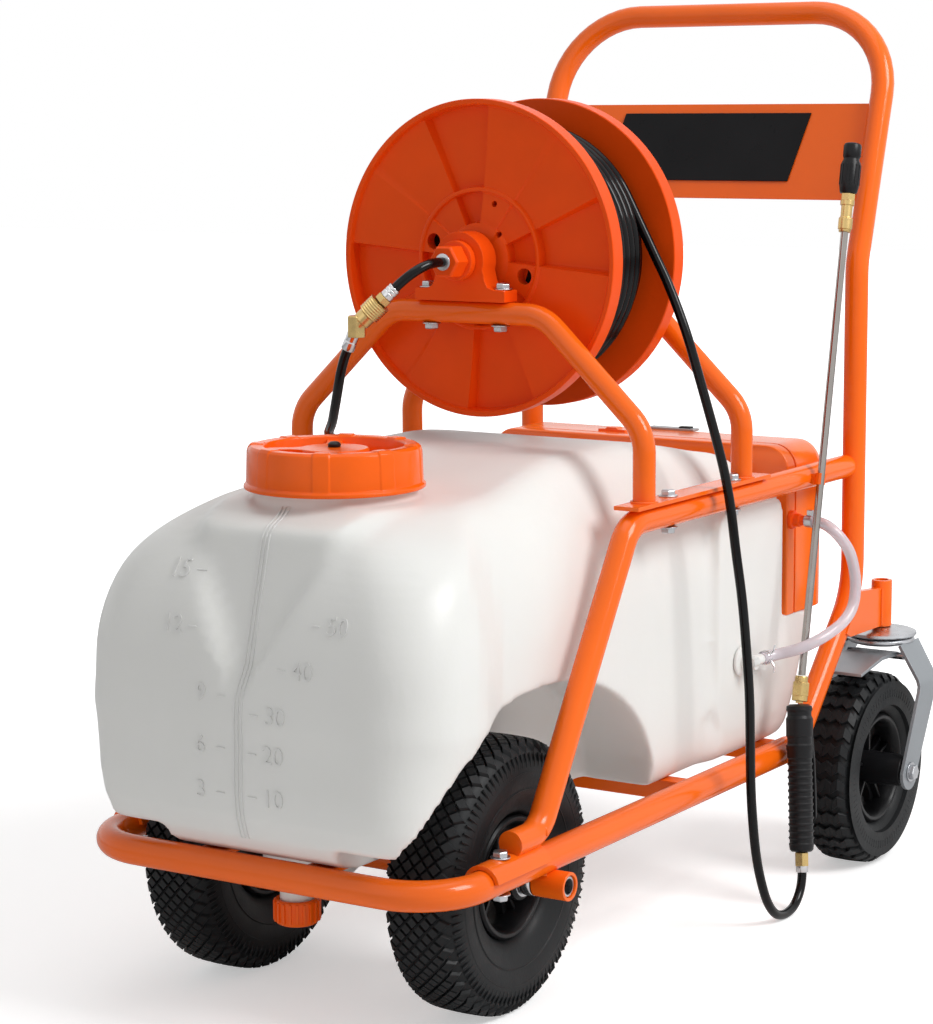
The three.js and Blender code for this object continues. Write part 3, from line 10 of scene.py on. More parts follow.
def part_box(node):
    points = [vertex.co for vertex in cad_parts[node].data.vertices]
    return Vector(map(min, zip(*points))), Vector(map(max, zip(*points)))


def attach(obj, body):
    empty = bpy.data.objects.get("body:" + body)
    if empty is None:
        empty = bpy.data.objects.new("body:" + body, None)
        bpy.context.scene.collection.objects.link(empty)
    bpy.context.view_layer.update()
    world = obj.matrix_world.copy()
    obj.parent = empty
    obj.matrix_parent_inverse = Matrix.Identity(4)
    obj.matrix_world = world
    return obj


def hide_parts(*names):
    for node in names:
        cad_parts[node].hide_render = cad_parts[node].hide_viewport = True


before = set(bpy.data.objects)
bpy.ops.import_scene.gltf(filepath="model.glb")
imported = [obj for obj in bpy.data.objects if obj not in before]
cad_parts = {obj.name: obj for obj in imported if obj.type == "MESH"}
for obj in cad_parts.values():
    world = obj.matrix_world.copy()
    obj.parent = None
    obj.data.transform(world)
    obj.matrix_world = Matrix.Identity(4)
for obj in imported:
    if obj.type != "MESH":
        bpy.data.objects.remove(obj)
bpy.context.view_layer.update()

# --- sizes
MM = 0.001
AXLE_Y = sum(corner[1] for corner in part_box("front_axle")) / 2
SIDES = (("right", 1), ("left", -1))
X, Y, Z = (1, 0, 0), (0, 1, 0), (0, 0, 1)

TUBE_R, HOOP_R, BASE_TUBE_R = 12.5, 11, 14
RAIL_X, RAIL_Z = 200, 154
MITRE_Y = 507
SIDE_TOP_Z = 442
HANDLE_X, HANDLE_Y, KNEE_Z, ELBOW_Z = 205, 648, 303, 662
HOOP_YS = (183, 387)
WHEEL_R, WHEEL_X, TYRE_W, RIM_R = 130, 138, 76, 58
CASTER_X, CASTER_Y, CASTER_AXLE_Y = 215, 705, 655
CASTER_R, CASTER_TYRE_W, CASTER_RIM_R = 106, 64, 60
PLATE_TOP = 458.8
REEL_Z = 684
FLANGE_FRONT, FLANGE_REAR = 201, 343
DRUM_FRONT, DRUM_REAR = 220.3, 323.7
BLOCK_FOOT = 644.3
HOSE_R = 4.8
CRANK_LENGTH = 112
NECK_Y, DRAIN_Y = -43, -112
OUTLET_X, OUTLET_Y, OUTLET_Z = 198, 418, 262
INLET_Y, INLET_Z = 536, 395


def at(x, y, z):
    """The place in the scene of a point given in millimetres."""
    return Vector((x * MM, AXLE_Y + y * MM, z * MM))


def places(*points):
    return [at(*point) for point in points]


def in_scene(name, data):
    """An object for a mesh, curve, lamp or camera, linked to the scene."""
    made = bpy.data.objects.new(name, data)
    bpy.context.scene.collection.objects.link(made)
    return made


# --- camera
CAMERA_AT = at(1458, -2102, 836)
CAMERA_AIM = at(-1.7, 182.8, 420)
CAMERA_ROLL = radians(-0.35)


def set_camera():
    """A long lens on the three-quarter front view, aimed at the middle of the cart."""
    data = bpy.data.cameras.new("camera")
    data.lens, data.sensor_width, data.clip_end = 97.1, 36, 50
    data.shift_x, data.shift_y = 0.0009, 0.0142
    camera = in_scene("camera", data)
    aim = (CAMERA_AIM - CAMERA_AT).to_track_quat("-Z", "Y").to_matrix().to_4x4()
    camera.matrix_world = Matrix.Translation(CAMERA_AT) @ aim @ Matrix.Rotation(CAMERA_ROLL, 4, "Z")
    bpy.context.scene.camera = camera


set_camera()


# --- materials
def put(tree, node, settings):
    """Fills a node's sockets, each with a constant or with another node's output."""
    for socket, value in settings.items():
        if isinstance(value, bpy.types.NodeSocket):
            tree.links.new(value, node.inputs[socket])
        else:
            node.inputs[socket].default_value = value
    return node


def new_node(tree, kind, settings, operation=None):
    node = tree.nodes.new(f"ShaderNode{kind}")
    if operation:
        node.operation = operation
    return put(tree, node, settings)


def shade(name, colour, roughness, metallic=0.0, grain=None, mottle=(9, 0.06), subsurface=0.0,
          transmission=0.0, rough_spread=0.08, specular=0.5):
    """A procedural finish. grain is (scale, height) of the bump, mottle (scale, amount) of the
    colour's variation, rough_spread how far the roughness varies."""
    material = bpy.data.materials.new(name)
    material.use_nodes = True
    tree = material.node_tree
    place = new_node(tree, "TexCoord", {}).outputs["Object"]

    def noise(scale, detail=4):
        return new_node(tree, "TexNoise", {"Vector": place, "Scale": scale, "Detail": detail}).outputs["Fac"]

    scale, amount = mottle
    ramp = new_node(tree, "ValToRGB", {"Fac": noise(scale)})
    for stop, position, share in zip(ramp.color_ramp.elements, (0.3, 0.7), (1 - amount, 1 + amount)):
        stop.position = position
        stop.color = (*(min(1, c * share) for c in colour), 1)
    spread = new_node(tree, "MapRange", {
        "Value": noise(scale * 4), "To Min": max(0.02, roughness - rough_spread),
        "To Max": min(1, roughness + rough_spread)})
    surface = put(tree, tree.nodes["Principled BSDF"], {
        "Base Color": ramp.outputs["Color"], "Roughness": spread.outputs["Result"], "Metallic": metallic,
        "Specular IOR Level": specular, "Subsurface Weight": subsurface, "Subsurface Scale": 0.6,
        "Subsurface Radius": (0.02, 0.02, 0.018), "Transmission Weight": transmission})
    if grain:
        bump = new_node(tree, "Bump", {
            "Strength": 0.6, "Distance": grain[1] * MM, "Height": noise(grain[0], 6)})
        put(tree, surface, {"Normal": bump.outputs["Normal"]})
    return material


PAINT = shade("orange_powder_coat", (0.94, 0.145, 0.006), 0.16, grain=(420, 0.08), mottle=(7, 0.05),
              specular=0.32, rough_spread=0.04)
REEL_PLASTIC = shade("orange_moulding", (0.90, 0.085, 0.004), 0.32, grain=(260, 0.15), mottle=(12, 0.06),
                     specular=0.14)
LID_PLASTIC = shade("orange_lid", (0.94, 0.125, 0.004), 0.2, grain=(120, 0.2), mottle=(20, 0.06),
                    specular=0.22)
BOX_PLASTIC = shade("orange_cover", (0.95, 0.16, 0.008), 0.2, grain=(90, 0.3), mottle=(6, 0.04))
MILKY = shade("milky_polyethylene", (0.80, 0.80, 0.775), 0.36, grain=(90, 0.35), mottle=(5, 0.025),
              subsurface=0.25, specular=0.4)
TYRE = shade("tyre_rubber", (0.011, 0.012, 0.013), 0.48, grain=(350, 0.3), mottle=(18, 0.25),
             rough_spread=0.12, specular=0.2)
HOSE = shade("black_hose", (0.003, 0.003, 0.0035), 0.14, grain=(700, 0.04), mottle=(30, 0.2), specular=0.22,
             rough_spread=0.04)
BLACK = shade("black_moulding", (0.008, 0.008, 0.009), 0.34, grain=(500, 0.2), mottle=(25, 0.2),
              specular=0.22)
GREY = shade("grey_moulding", (0.36, 0.37, 0.38), 0.4, grain=(400, 0.15), mottle=(25, 0.1))
ZINC = shade("zinc_plate", (0.50, 0.51, 0.53), 0.3, 1.0, grain=(180, 0.12), mottle=(30, 0.14),
             rough_spread=0.12)
FORK_GREY = shade("fork_grey", (0.30, 0.32, 0.34), 0.42, 0.55, grain=(240, 0.15), mottle=(14, 0.08))
STAINLESS = shade("stainless_tube", (0.36, 0.335, 0.315), 0.16, 1.0, mottle=(40, 0.06), rough_spread=0.05,
                  grain=(600, 0.03))
CHROME = shade("bright_plate", (0.62, 0.62, 0.63), 0.12, 1.0, mottle=(40, 0.06), rough_spread=0.05)
BRASS = shade("brass", (0.60, 0.43, 0.18), 0.28, 1.0, grain=(300, 0.08), mottle=(40, 0.12))
CLEAR = shade("clear_pvc", (0.80, 0.74, 0.79), 0.16, transmission=0.4, mottle=(25, 0.04), subsurface=0.1)
LABEL = shade("label_film", (0.007, 0.007, 0.008), 0.3, grain=(60, 0.05), mottle=(14, 0.2), specular=0.12)


# --- mesh tools
def placed(origin, forward=Z, across=None):
    """A matrix that puts local Z along forward and local X towards across."""
    z = Vector(forward).normalized()
    hint = Vector(across) if across else Vector(X if abs(z.x) < 0.9 else Y)
    x = (hint - hint.project(z)).normalized()
    return Matrix.Translation(origin) @ Matrix((x, z.cross(x), z)).transposed().to_4x4()


def turns(count):
    """The angles of a full turn in equal steps."""
    return [2 * pi * k / count for k in range(count)]


def on_ring(place, radius, angle, height):
    """The point at a radius, an angle and a height from a placed axis."""
    return place @ Vector((radius * cos(angle) * MM, radius * sin(angle) * MM, height * MM))


def arc(cx, cy, radius, start, end, steps):
    """Points of an arc in a flat outline, angles in degrees."""
    angles = [radians(start + (end - start) * k / steps) for k in range(steps + 1)]
    return [(cx + radius * cos(a), cy + radius * sin(a)) for a in angles]


def tube(inner, outer, low, high):
    """The profile of a plain tube, or of a rod when inner is 0."""
    return [(inner, low), (outer, low), (outer, high), (inner, high)]


def mirrored(half):
    """A profile (radius, height) with its mirror image below height 0."""
    return [(r, -h) for r, h in half[::-1]] + half


def rounded(corners, radii, step=8):
    """A path through corners, each bend rounded with an arc of its radius."""
    path = [corners[0]]
    for before, corner, after, radius in zip(corners, corners[1:], corners[2:], radii):
        a, b = (corner - before).normalized(), (after - corner).normalized()
        turn = a.angle(b)
        inward = (b - a * a.dot(b)).normalized() * radius * MM
        start = corner - a * radius * MM * tan(turn / 2)
        steps = max(2, ceil(degrees(turn) / step))
        for k in range(steps + 1):
            angle = turn * k / steps
            path.append(start + a * radius * MM * sin(angle) + inward * (1 - cos(angle)))
    return path + [corners[-1]]


def baked(piece, *helpers):
    """A piece's mesh with its modifiers applied, after which the helper objects are removed."""
    bpy.context.view_layer.update()
    mesh = bpy.data.meshes.new_from_object(piece.evaluated_get(bpy.context.evaluated_depsgraph_get()))
    for helper in helpers:
        bpy.data.objects.remove(helper)
    return mesh


class Piece:
    """Collects the surfaces of one piece, then makes its object."""

    def __init__(self, name):
        self.name = name
        self.mesh = bmesh.new()
        self.materials = []

    def skin(self, rings, material, loop=False, caps=True):
        """Joins closed rings of places in the scene."""
        if material not in self.materials:
            self.materials.append(material)
        slot = self.materials.index(material)
        rows = [[self.mesh.verts.new(p) for p in ring] for ring in rings]
        count = len(rows[0])
        for low, high in zip(rows, rows[1:] + (rows[:1] if loop else [])):
            for i in range(count):
                j = (i + 1) % count
                self.mesh.faces.new((low[i], low[j], high[j], high[i])).material_index = slot
        if caps and not loop:
            for row in (rows[0][::-1], rows[-1]):
                self.mesh.faces.new(row).material_index = slot

    def sweep(self, path, radius, material, sides=28, cut=None):
        """A round tube along a path of places, cut at both ends by a (point, normal) plane."""
        last = len(path) - 1
        tangents = [(path[min(i + 1, last)] - path[max(i - 1, 0)]).normalized() for i in range(len(path))]
        up = tangents[0].orthogonal().normalized()
        radii = radius if isinstance(radius, list) else [radius] * len(path)
        rings = []
        for point, tangent, r in zip(path, tangents, radii):
            up = (up - up.project(tangent)).normalized()
            side = tangent.cross(up)
            rings.append([point + (up * cos(t) + side * sin(t)) * r * MM for t in turns(sides)])
        if cut:
            point, normal = cut
            for end in (0, -1):
                along = tangents[end]
                rings[end] = [p + along * (normal.dot(point - p) / normal.dot(along)) for p in rings[end]]
        self.skin(rings, material)

    def lathe(self, profile, place, material, sides=64):
        """Revolves [(radius, height)] about local Z; a profile off the axis closes on itself."""
        tip_r = 0.0004
        rings = [[on_ring(place, max(r, tip_r), t, h) for t in turns(sides)] for r, h in profile]
        self.skin(rings, material, loop=profile[0][0] > 0)

    def prism(self, outline, depth, place, material, start=0.0):
        """Extrudes a flat outline in local XY from start along local Z."""
        self.skin([[place @ Vector((x * MM, y * MM, z * MM)) for x, y in outline]
                   for z in (start, start + depth)], material)

    def upright(self, outline, start, depth, material):
        """Extrudes a side view (y, z) along X from start."""
        self.prism(outline, depth, placed(at(start, 0, 0), X, Y), material)

    def box(self, size, centre, material, place=Matrix.Identity(4)):
        x, y = size[0] / 2, size[1] / 2
        middle = place @ Matrix.Translation(centre)
        self.prism([(-x, -y), (x, -y), (x, y), (-x, y)], size[2], middle, material, -size[2] / 2)

    def bolt(self, point, direction, flats=13):
        """A hexagon head with its washer, standing on a point."""
        place = placed(point, direction)
        self.lathe(tube(0, flats * 0.72, 0, 1.4), place, ZINC, 28)
        corner = flats / 2 / cos(pi / 6)
        self.lathe([(0, 1.4), (corner, 1.4), (corner, 5.6), (corner - 1, 6.6), (0, 6.6)], place, ZINC, 6)

    def data(self, merge=1e-7, triangles=False):
        """The finished mesh, its doubled points merged and its normals outward."""
        bmesh.ops.remove_doubles(self.mesh, verts=self.mesh.verts, dist=merge)
        if triangles:
            bmesh.ops.triangulate(self.mesh, faces=[f for f in self.mesh.faces if len(f.verts) > 4])
        bmesh.ops.recalc_face_normals(self.mesh, faces=self.mesh.faces)
        data = bpy.data.meshes.new(self.name)
        self.mesh.to_mesh(data)
        self.mesh.free()
        return data

    def done(self, body, replaces=(), bevel=0.0, smooth=38):
        """The piece's object, riding its body in place of the CAD nodes it replaces."""
        data = self.data()
        for material in self.materials:
            data.materials.append(material)
        data.shade_smooth()
        data.set_sharp_from_angle(angle=radians(smooth))
        piece = in_scene(self.name, data)
        if bevel:
            edge = piece.modifiers.new("edges", "BEVEL")
            edge.width, edge.segments, edge.harden_normals = bevel * MM, 2, True
            edge.limit_method, edge.angle_limit = "ANGLE", radians(smooth)
        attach(piece, body)
        if replaces:
            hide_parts(*replaces)
        return piece


def solid_object(name, build):
    """A closed helper object for a boolean."""
    piece = Piece(name)
    build(piece)
    return in_scene(name, piece.data(1e-6, triangles=True))


def boolean(piece, other, operation, use_self=True):
    """Adds an exact boolean with another closed object."""
    made = piece.modifiers.new(operation.lower(), "BOOLEAN")
    made.object, made.operation, made.solver, made.use_self = other, operation, "EXACT", use_self


def turned(name, body, node, place, profiles, bevel=0.0, smooth=30):
    """A piece of several lathed (profile, material, sides) on one axis."""
    piece = Piece(name)
    for profile, material, sides in profiles:
        piece.lathe(profile, place, material, sides)
    piece.done(body, [node], bevel, smooth)


# --- frame tubes
LEG_TILT, LEAN = radians(43.7), radians(17.8)
LEG = Vector((0, sin(LEG_TILT), cos(LEG_TILT)))
LEAN_UP = Vector((0, sin(LEAN), cos(LEAN)))
MITRE_AT = at(0, MITRE_Y, RAIL_Z)
MITRE_NORMAL = Vector((0, 1 + LEG.y, LEG.z)).normalized()
MITRE_GAP = MITRE_NORMAL * 0.15 * MM


def flipped(point, side):
    """The point itself on the right, its mirror image on the left."""
    return Vector((point[0] * side, point[1], point[2]))


def weld(piece, points, radius=1.7):
    """A fillet of weld through points."""
    piece.sweep(places(*points), radius, PAINT, 10 if radius > 2 else 8)


def base_frame():
    piece = Piece("base_rails")
    corners = [at(x, y, RAIL_Z) for x, y in
               ((-RAIL_X, MITRE_Y), (-RAIL_X, -175), (RAIL_X, -175), (RAIL_X, MITRE_Y))]
    piece.sweep(rounded(corners, [62, 62]), BASE_TUBE_R, PAINT, 36, cut=(MITRE_AT - MITRE_GAP, MITRE_NORMAL))
    for y in (290, 490):
        piece.box((386, 20, 20), at(0, y, 152.7), PAINT)
    for _, side in SIDES:
        piece.box((30, 56, 5), at(side * 60, -145, 160.2), PAINT)
        sleeve = placed(at(0, 0, WHEEL_R), (side, 0, 0))
        piece.lathe(tube(10.3, 13.5, 191, 226), sleeve, PAINT, 36)
        weld(piece, [(side * x, y, 141.2) for x, y in ((193, -9), (200, -12), (207, -9))], 2.2)
    piece.done("chassis", ["base_frame"], bevel=0.8)


def side_frames():
    """Top rail and front leg in one bent tube, with a saddle on the base rail."""
    leg_y, bend_y, rear_y = -14, 153, 637
    slope = (SIDE_TOP_Z - RAIL_Z - BASE_TUBE_R - TUBE_R) / (bend_y - leg_y)
    foot = SIDE_TOP_Z - slope * (bend_y - leg_y)
    for name, side in SIDES:
        piece = Piece(f"side_tube_{name}")
        corners = [at(RAIL_X, y, z) for y, z in
                   ((-62, foot), (leg_y, foot), (bend_y, SIDE_TOP_Z), (rear_y, SIDE_TOP_Z))]
        piece.sweep([flipped(p, side) for p in rounded(corners, [34, 38])], TUBE_R, PAINT, 32)
        saddle = arc(0, 0, 18.8, 10, 170, 18) + arc(0, 0, 14.4, 170, 10, 18)
        place = placed(at(side * RAIL_X, -111, RAIL_Z), Y, X)
        piece.prism([(x, -y) for x, y in saddle], 91, place, PAINT)
        weld(piece, [(side * (RAIL_X + x), -19, foot + z) for x, z in arc(0, 0, 12.8, 0, 180, 9)], 1.6)
        for z, way in ((RAIL_Z + 18.4, 1), (RAIL_Z - 14.2, -1)):
            piece.bolt(at(side * RAIL_X, -79, z), (0, 0, way))
        piece.done("chassis", [f"side_frame_{name}"], bevel=0.7)


def handle():
    piece = Piece("push_handle")
    top = at(0, HANDLE_Y, ELBOW_Z) + LEAN_UP * 284 * MM
    knee, elbow = at(HANDLE_X, HANDLE_Y, KNEE_Z), at(HANDLE_X, HANDLE_Y, ELBOW_Z)
    foot = knee - LEG * ((KNEE_Z - RAIL_Z) / LEG.z) * MM
    half = [foot, knee, elbow, Vector((HANDLE_X * MM, top.y, top.z))]
    corners = [flipped(p, -1) for p in half] + half[::-1]
    path = rounded(corners, [85, 70, 95, 95, 70, 85])
    piece.sweep(path, TUBE_R, PAINT, 36, cut=(MITRE_AT + MITRE_GAP, MITRE_NORMAL))
    for _, side in SIDES:
        foot = MITRE_AT + Vector((side * 202.5 * MM, 0, 0))
        around = [Matrix.Rotation(radians(24 * k), 3, MITRE_NORMAL) for k in range(16)]
        piece.sweep([foot + turn @ Vector((14 * MM, 0, 0)) for turn in around], 1.3, PAINT, 8)
    piece.done("chassis", ["handle_frame"])


def handle_sheet():
    """The cross panel and its bare plate, on the leaning uprights."""
    front = Vector(X).cross(LEAN_UP)

    def sheet(name, node, outline, thick, forward, material, bevel):
        piece = Piece(name)
        place = placed(at(0, HANDLE_Y, ELBOW_Z) + front * forward * MM, front, X)
        piece.prism(outline, thick, place, material)
        piece.done("chassis", [node], bevel=bevel)

    panel = [(-192, 70), (192, 70), (192, 179), (-192, 179)]
    plate = [(-125, 90), (108, 90), (125, 168), (-108, 168)]
    sheet("cross_panel", "handle_panel", panel, 2, -1, PAINT, 0.5)
    sheet("blank_plate", "label_plate", plate, 1.5, 1.3, LABEL, 0.4)


def reel_stand():
    piece = Piece("reel_hoops")
    for y in HOOP_YS:
        half = [(RAIL_X, 457), (RAIL_X, 526), (88, 633)]
        corners = [at(-x, y, z) for x, z in half] + [at(x, y, z) for x, z in half[::-1]]
        piece.sweep(rounded(corners, [45] * 4), HOOP_R, PAINT, 32)
        for _, side in SIDES:
            weld(piece, [(x, y_on, PLATE_TOP + 0.4) for x, y_on in arc(side * RAIL_X, y, 12, 0, 360, 16)])
            piece.bolt(at(side * 40, y, 621.8), (0, 0, -1))
    for _, side in SIDES:
        piece.box((27, 279, 4), at(side * RAIL_X, 287.5, PLATE_TOP - 2), PAINT)
        for y in (231, 366):
            piece.bolt(at(side * RAIL_X, y, PLATE_TOP), Z)
            piece.bolt(at(side * RAIL_X, y, 429.6), (0, 0, -1))
    piece.done("chassis", ["reel_stand"], bevel=0.5)


# --- wheels
def crown(x, half, radius):
    """Radius of the tread surface at a distance x from the wheel's middle."""
    share = min(1, abs(x) / half)
    return radius - 2.2 * share ** 2 - 15 * max(0, share - 0.62) ** 2 / 0.1444


def carcass(piece, radius, half, rim_r, place, tread):
    """The tyre without its tread blocks: bead, bulging walls and the tread's ground."""
    outer = [(crown(x, half, radius) - tread, x) for x in [half * 0.92 * k / 10 for k in range(-10, 11)]]
    mid = (radius + rim_r) / 2
    right = [(mid + 14, half * 0.985), (mid + 2, half), (mid - 12, half * 0.97), (rim_r + 10, half * 0.82),
             (rim_r + 5, half * 0.74), (rim_r + 3, half * 0.66), (rim_r + 0.3, half * 0.56)]
    left = [(r, -x) for r, x in right][::-1]
    piece.lathe(outer + right + left, place, TYRE, 120)


def block(piece, outline, half, radius, depth, angle, place):
    """One tread block: a flat outline (across, along) wrapped on the tread at an angle."""
    cx, cy = (sum(p[i] for p in outline) / len(outline) for i in (0, 1))
    rings = []
    for lift, shrink in ((-depth - 1.0, 1.0), (-0.6, 1.0), (0, 0.93)):
        points = [(cx + (x - cx) * shrink, cy + (y - cy) * shrink) for x, y in outline]
        rings.append([on_ring(place, crown(x, half, radius) + lift, angle + y / radius, x)
                      for x, y in points])
    piece.skin(rings, TYRE)


def wall_ribs(piece, radius, half, place, count):
    """Fine radial ribs where the tread meets each wall."""
    for edge in (1, -1):
        for angle in turns(count):
            path = [on_ring(place, radius - drop, angle, edge * half * share)
                    for drop, share in ((13, 0.93), (19, 0.972), (26, 0.985))]
            piece.sweep(path, [1.1, 1.2, 0.5], TYRE, 6)


def front_tyre(name, place):
    """Small diamond knobs in staggered rows, rings on the walls and shoulder ribs."""
    half, depth, around = TYRE_W / 2, 4.6, 56
    piece = Piece(f"front_tread_{name}")
    carcass(piece, WHEEL_R, half, RIM_R, place, depth)
    length = 2 * pi * WHEEL_R / around * 0.38
    for row in range(9):
        x = 7 * (row - 4)
        knob = [(x - 5.5, 0), (x, -length), (x + 5.5, 0), (x, length)]
        for k in range(around):
            block(piece, knob, half, WHEEL_R, depth, 2 * pi * (k + 0.5 * (row % 2)) / around, place)
    for edge in (1, -1):
        for drop, share in ((21, 0.93), (30, 0.975), (46, 0.965)):
            loop = [on_ring(place, WHEEL_R - drop, a, edge * half * share) for a in turns(120) + [2 * pi]]
            piece.sweep(loop, 1.1, TYRE, 6)
    wall_ribs(piece, WHEEL_R, half, place, 96)
    piece.done(f"front_wheel_{name}", [f"front_tyre_{name}"], smooth=32)


def caster_tyre(name, place):
    """Wavy cross bars over the whole tread, fine ribs on the shoulders."""
    half, depth, around = CASTER_TYRE_W / 2, 4, 34
    piece = Piece(f"caster_tread_{name}")
    carcass(piece, CASTER_R, half, CASTER_RIM_R, place, depth)
    pitch = 2 * pi * CASTER_R / around
    xs = [-27, -20, -13.5, -6.8, 0, 6.8, 13.5, 20, 27]
    wave = [(-1) ** k * pitch * 0.13 for k in range(len(xs))]
    low = [(x, w - pitch * 0.3) for x, w in zip(xs, wave)]
    high = [(x, w + pitch * 0.3) for x, w in zip(xs, wave)]
    for angle in turns(around):
        for i in range(len(xs) - 1):
            block(piece, [low[i], low[i + 1], high[i + 1], high[i]], half, CASTER_R, depth, angle, place)
    wall_ribs(piece, CASTER_R, half, place, 84)
    piece.done(f"caster_wheel_{name}", [f"caster_tyre_{name}"], smooth=32)


def rim(name, body, node, place, rim_r, half, hub_r, hub_half, bore_r):
    """Moulded wheel centre: lipped barrel, five spokes with their ribs, hub."""
    spokes, lip, reach = 5, half * 0.66, rim_r - 9
    piece = Piece(name)
    barrel = [(rim_r - drop, h) for drop, h in
              ((10, 6), (8, lip - 1), (5, lip + 2.5), (2, lip + 2.5), (0, lip))]
    piece.lathe(mirrored(barrel), place, BLACK, 96)
    piece.lathe([(bore_r, -hub_half), (hub_r - 3, -hub_half), (hub_r, -hub_half + 3), (hub_r + 2, 0),
                 (hub_r, hub_half - 3), (hub_r - 3, hub_half), (bore_r, hub_half)], place, BLACK, 48)
    for k in range(spokes):
        turn = place @ Matrix.Rotation(2 * pi * (k + 0.25) / spokes, 4, "Z")
        piece.prism([(hub_r - 2, -7), (rim_r * 0.6, -6), (reach, -11), (reach, 11), (rim_r * 0.6, 6),
                     (hub_r - 2, 7)], 8, turn, BLACK, -4)
        piece.prism([(hub_r - 2, -1.6), (reach, -1.6), (reach, 1.6), (hub_r - 2, 1.6)], 22, turn, BLACK, -11)
    piece.lathe(tube(bore_r, bore_r + 6, hub_half - 1, hub_half + 0.2), place, ZINC, 40)
    piece.done(body, [node], bevel=0.7)


def front_axle():
    piece = Piece("axle_tube")
    place = placed(at(0, 0, WHEEL_R), X)
    piece.lathe(mirrored([(10, 223), (9.2, 224), (7.5, 224)]), place, ZINC, 40)
    for _, side in SIDES:
        collar = placed(at(side * 178.4, 0, WHEEL_R), (side, 0, 0))
        piece.lathe([(10, 0), (13.4, 0), (14, 1), (14, 10.5), (13.4, 11.6), (10, 11.6)], collar, CHROME, 44)
    piece.done("chassis", ["front_axle"], smooth=30)
    spacer = mirrored([(13.5, 97), (13, 97.6), (10.4, 97.6)])
    turned("spacer_tube", "chassis", "axle_spacer", place, [(spacer, PAINT, 40)], smooth=38)


def front_wheels():
    for name, side in SIDES:
        place = placed(at(side * WHEEL_X, 0, WHEEL_R), (side, 0, 0))
        front_tyre(name, place)
        rim(f"front_centre_{name}", f"front_wheel_{name}", f"front_rim_{name}", place, RIM_R, TYRE_W / 2, 20,
            39.5, 10.3)


# --- casters
def fork_leg(piece, side, hand):
    """One bent sheet leg: a strip whose width follows the outline, with a round foot."""
    def ring(x, z, low, high, tilt=0.0):
        middle = at(x * hand + CASTER_X * side, 0, z)
        shift = Vector((cos(tilt) * hand, 0, sin(tilt))) * 2 * MM
        return [middle + Vector((0, y * MM, 0)) + shift * sign
                for y, sign in ((low, 1), (high, 1), (high, -1), (low, -1))]

    strip = [(33, 240, 0.75), (36.5, 234, 0.6), (55, 203, 0.5), (57.3, 196.5, 0.2)]
    strip += [(58, z, 0) for z in (190, 165, 140, 120, CASTER_R)]
    rings = []
    for x, z, tilt in strip:
        drop = (198 - z) / 92
        low, high = 681 - 46 * drop, 727.5 - 52.5 * drop
        if z > 198:
            low, high = 680 + (240 - z) * 0.03, 730 - (240 - z) * 0.06
        rings.append(ring(x, z, low, high, tilt))
    for k in range(1, 9):
        angle = radians(11.2 * k)
        reach = 20 * cos(angle)
        rings.append(ring(58, CASTER_R - 20 * sin(angle), CASTER_AXLE_Y - reach, CASTER_AXLE_Y + reach))
    piece.skin(rings, FORK_GREY)


def caster(name, side):
    top = placed(at(side * CASTER_X, CASTER_Y, 0))
    head = [(0, 235.5), (6, 235.5), (6, 246.2), (34, 246.2), (38.5, 246.6), (39.6, 248), (39, 250.6),
            (36, 251.8), (22, 252.2), (15, 254.8), (10, 255.4), (6.7, 255.6), (6.7, 296), (5, 297), (0, 297)]
    turned(f"swivel_head_{name}", "chassis", f"caster_head_{name}", top, [(head, ZINC, 72)])

    fork = Piece(f"fork_{name}")
    fork.lathe([(6.4, 236.4), (20, 236.2), (30, 237.2), (36, 239.4), (37.4, 241), (37.4, 243.4), (36, 244.8),
                (6.4, 245.4)], top, ZINC, 72)
    axle = Piece(f"wheel_bolt_{name}")
    across = placed(at(side * CASTER_X, CASTER_AXLE_Y, CASTER_R), X)
    axle.lathe(tube(0, 5.9, -61, 61), across, ZINC, 24)
    for hand in (1, -1):
        fork_leg(fork, side, hand)
        axle.bolt(at(side * CASTER_X + hand * 60.2, CASTER_AXLE_Y, CASTER_R), (hand, 0, 0), flats=15)
    fork.done(f"caster_{name}", [f"caster_fork_{name}"], bevel=0.6, smooth=30)
    axle.done(f"caster_{name}", [f"caster_axle_{name}"], bevel=0.4)

    caster_tyre(name, placed(at(side * CASTER_X, CASTER_AXLE_Y, CASTER_R), (side, 0, 0)))
    rim(f"caster_centre_{name}", f"caster_wheel_{name}", f"caster_rim_{name}", across, CASTER_RIM_R,
        CASTER_TYRE_W / 2, 17, 55.5, 6.3)

    brake = Piece(f"brake_plate_{name}")
    outline = [(697, 222), (697, 230), (653, 231.5), (597, 222), (597, 218.5), (653, 227.5), (690, 226)]
    brake.upright(outline, side * CASTER_X - 26, 52, FORK_GREY)
    pin = placed(at(side * CASTER_X, 693, 226), X)
    brake.lathe(tube(0, 4, -34.2, 34.2), pin, ZINC, 20)
    brake.done(f"caster_brake_pedal_{name}", [f"caster_brake_{name}"], bevel=0.8)


def caster_bracket(name, side):
    """The caster's stem tube and the plate that welds it to the handle's leg."""
    piece = Piece(f"stem_bracket_{name}")
    stem = [(7.3, 256), (11, 256), (11.5, 256.6), (11.5, 307.2), (11, 308), (7.3, 308)]
    piece.lathe(stem, placed(at(side * CASTER_X, CASTER_Y, 0)), PAINT, 40)
    leg_y = HANDLE_Y - (KNEE_Z - 256) * tan(LEG_TILT)
    outline = [(637, 305), (697, 300), (697, 257), (leg_y + 12, 258), (leg_y + 2, 263)]
    piece.upright(outline, side * CASTER_X - 4.5, 9, PAINT)
    for x in (-5.25, 5.25):
        weld(piece, [(side * CASTER_X + x, CASTER_Y - 10.6, z) for z in (258, 272, 286, 299)])
    piece.done("chassis", [f"caster_bracket_{name}"], bevel=0.6)


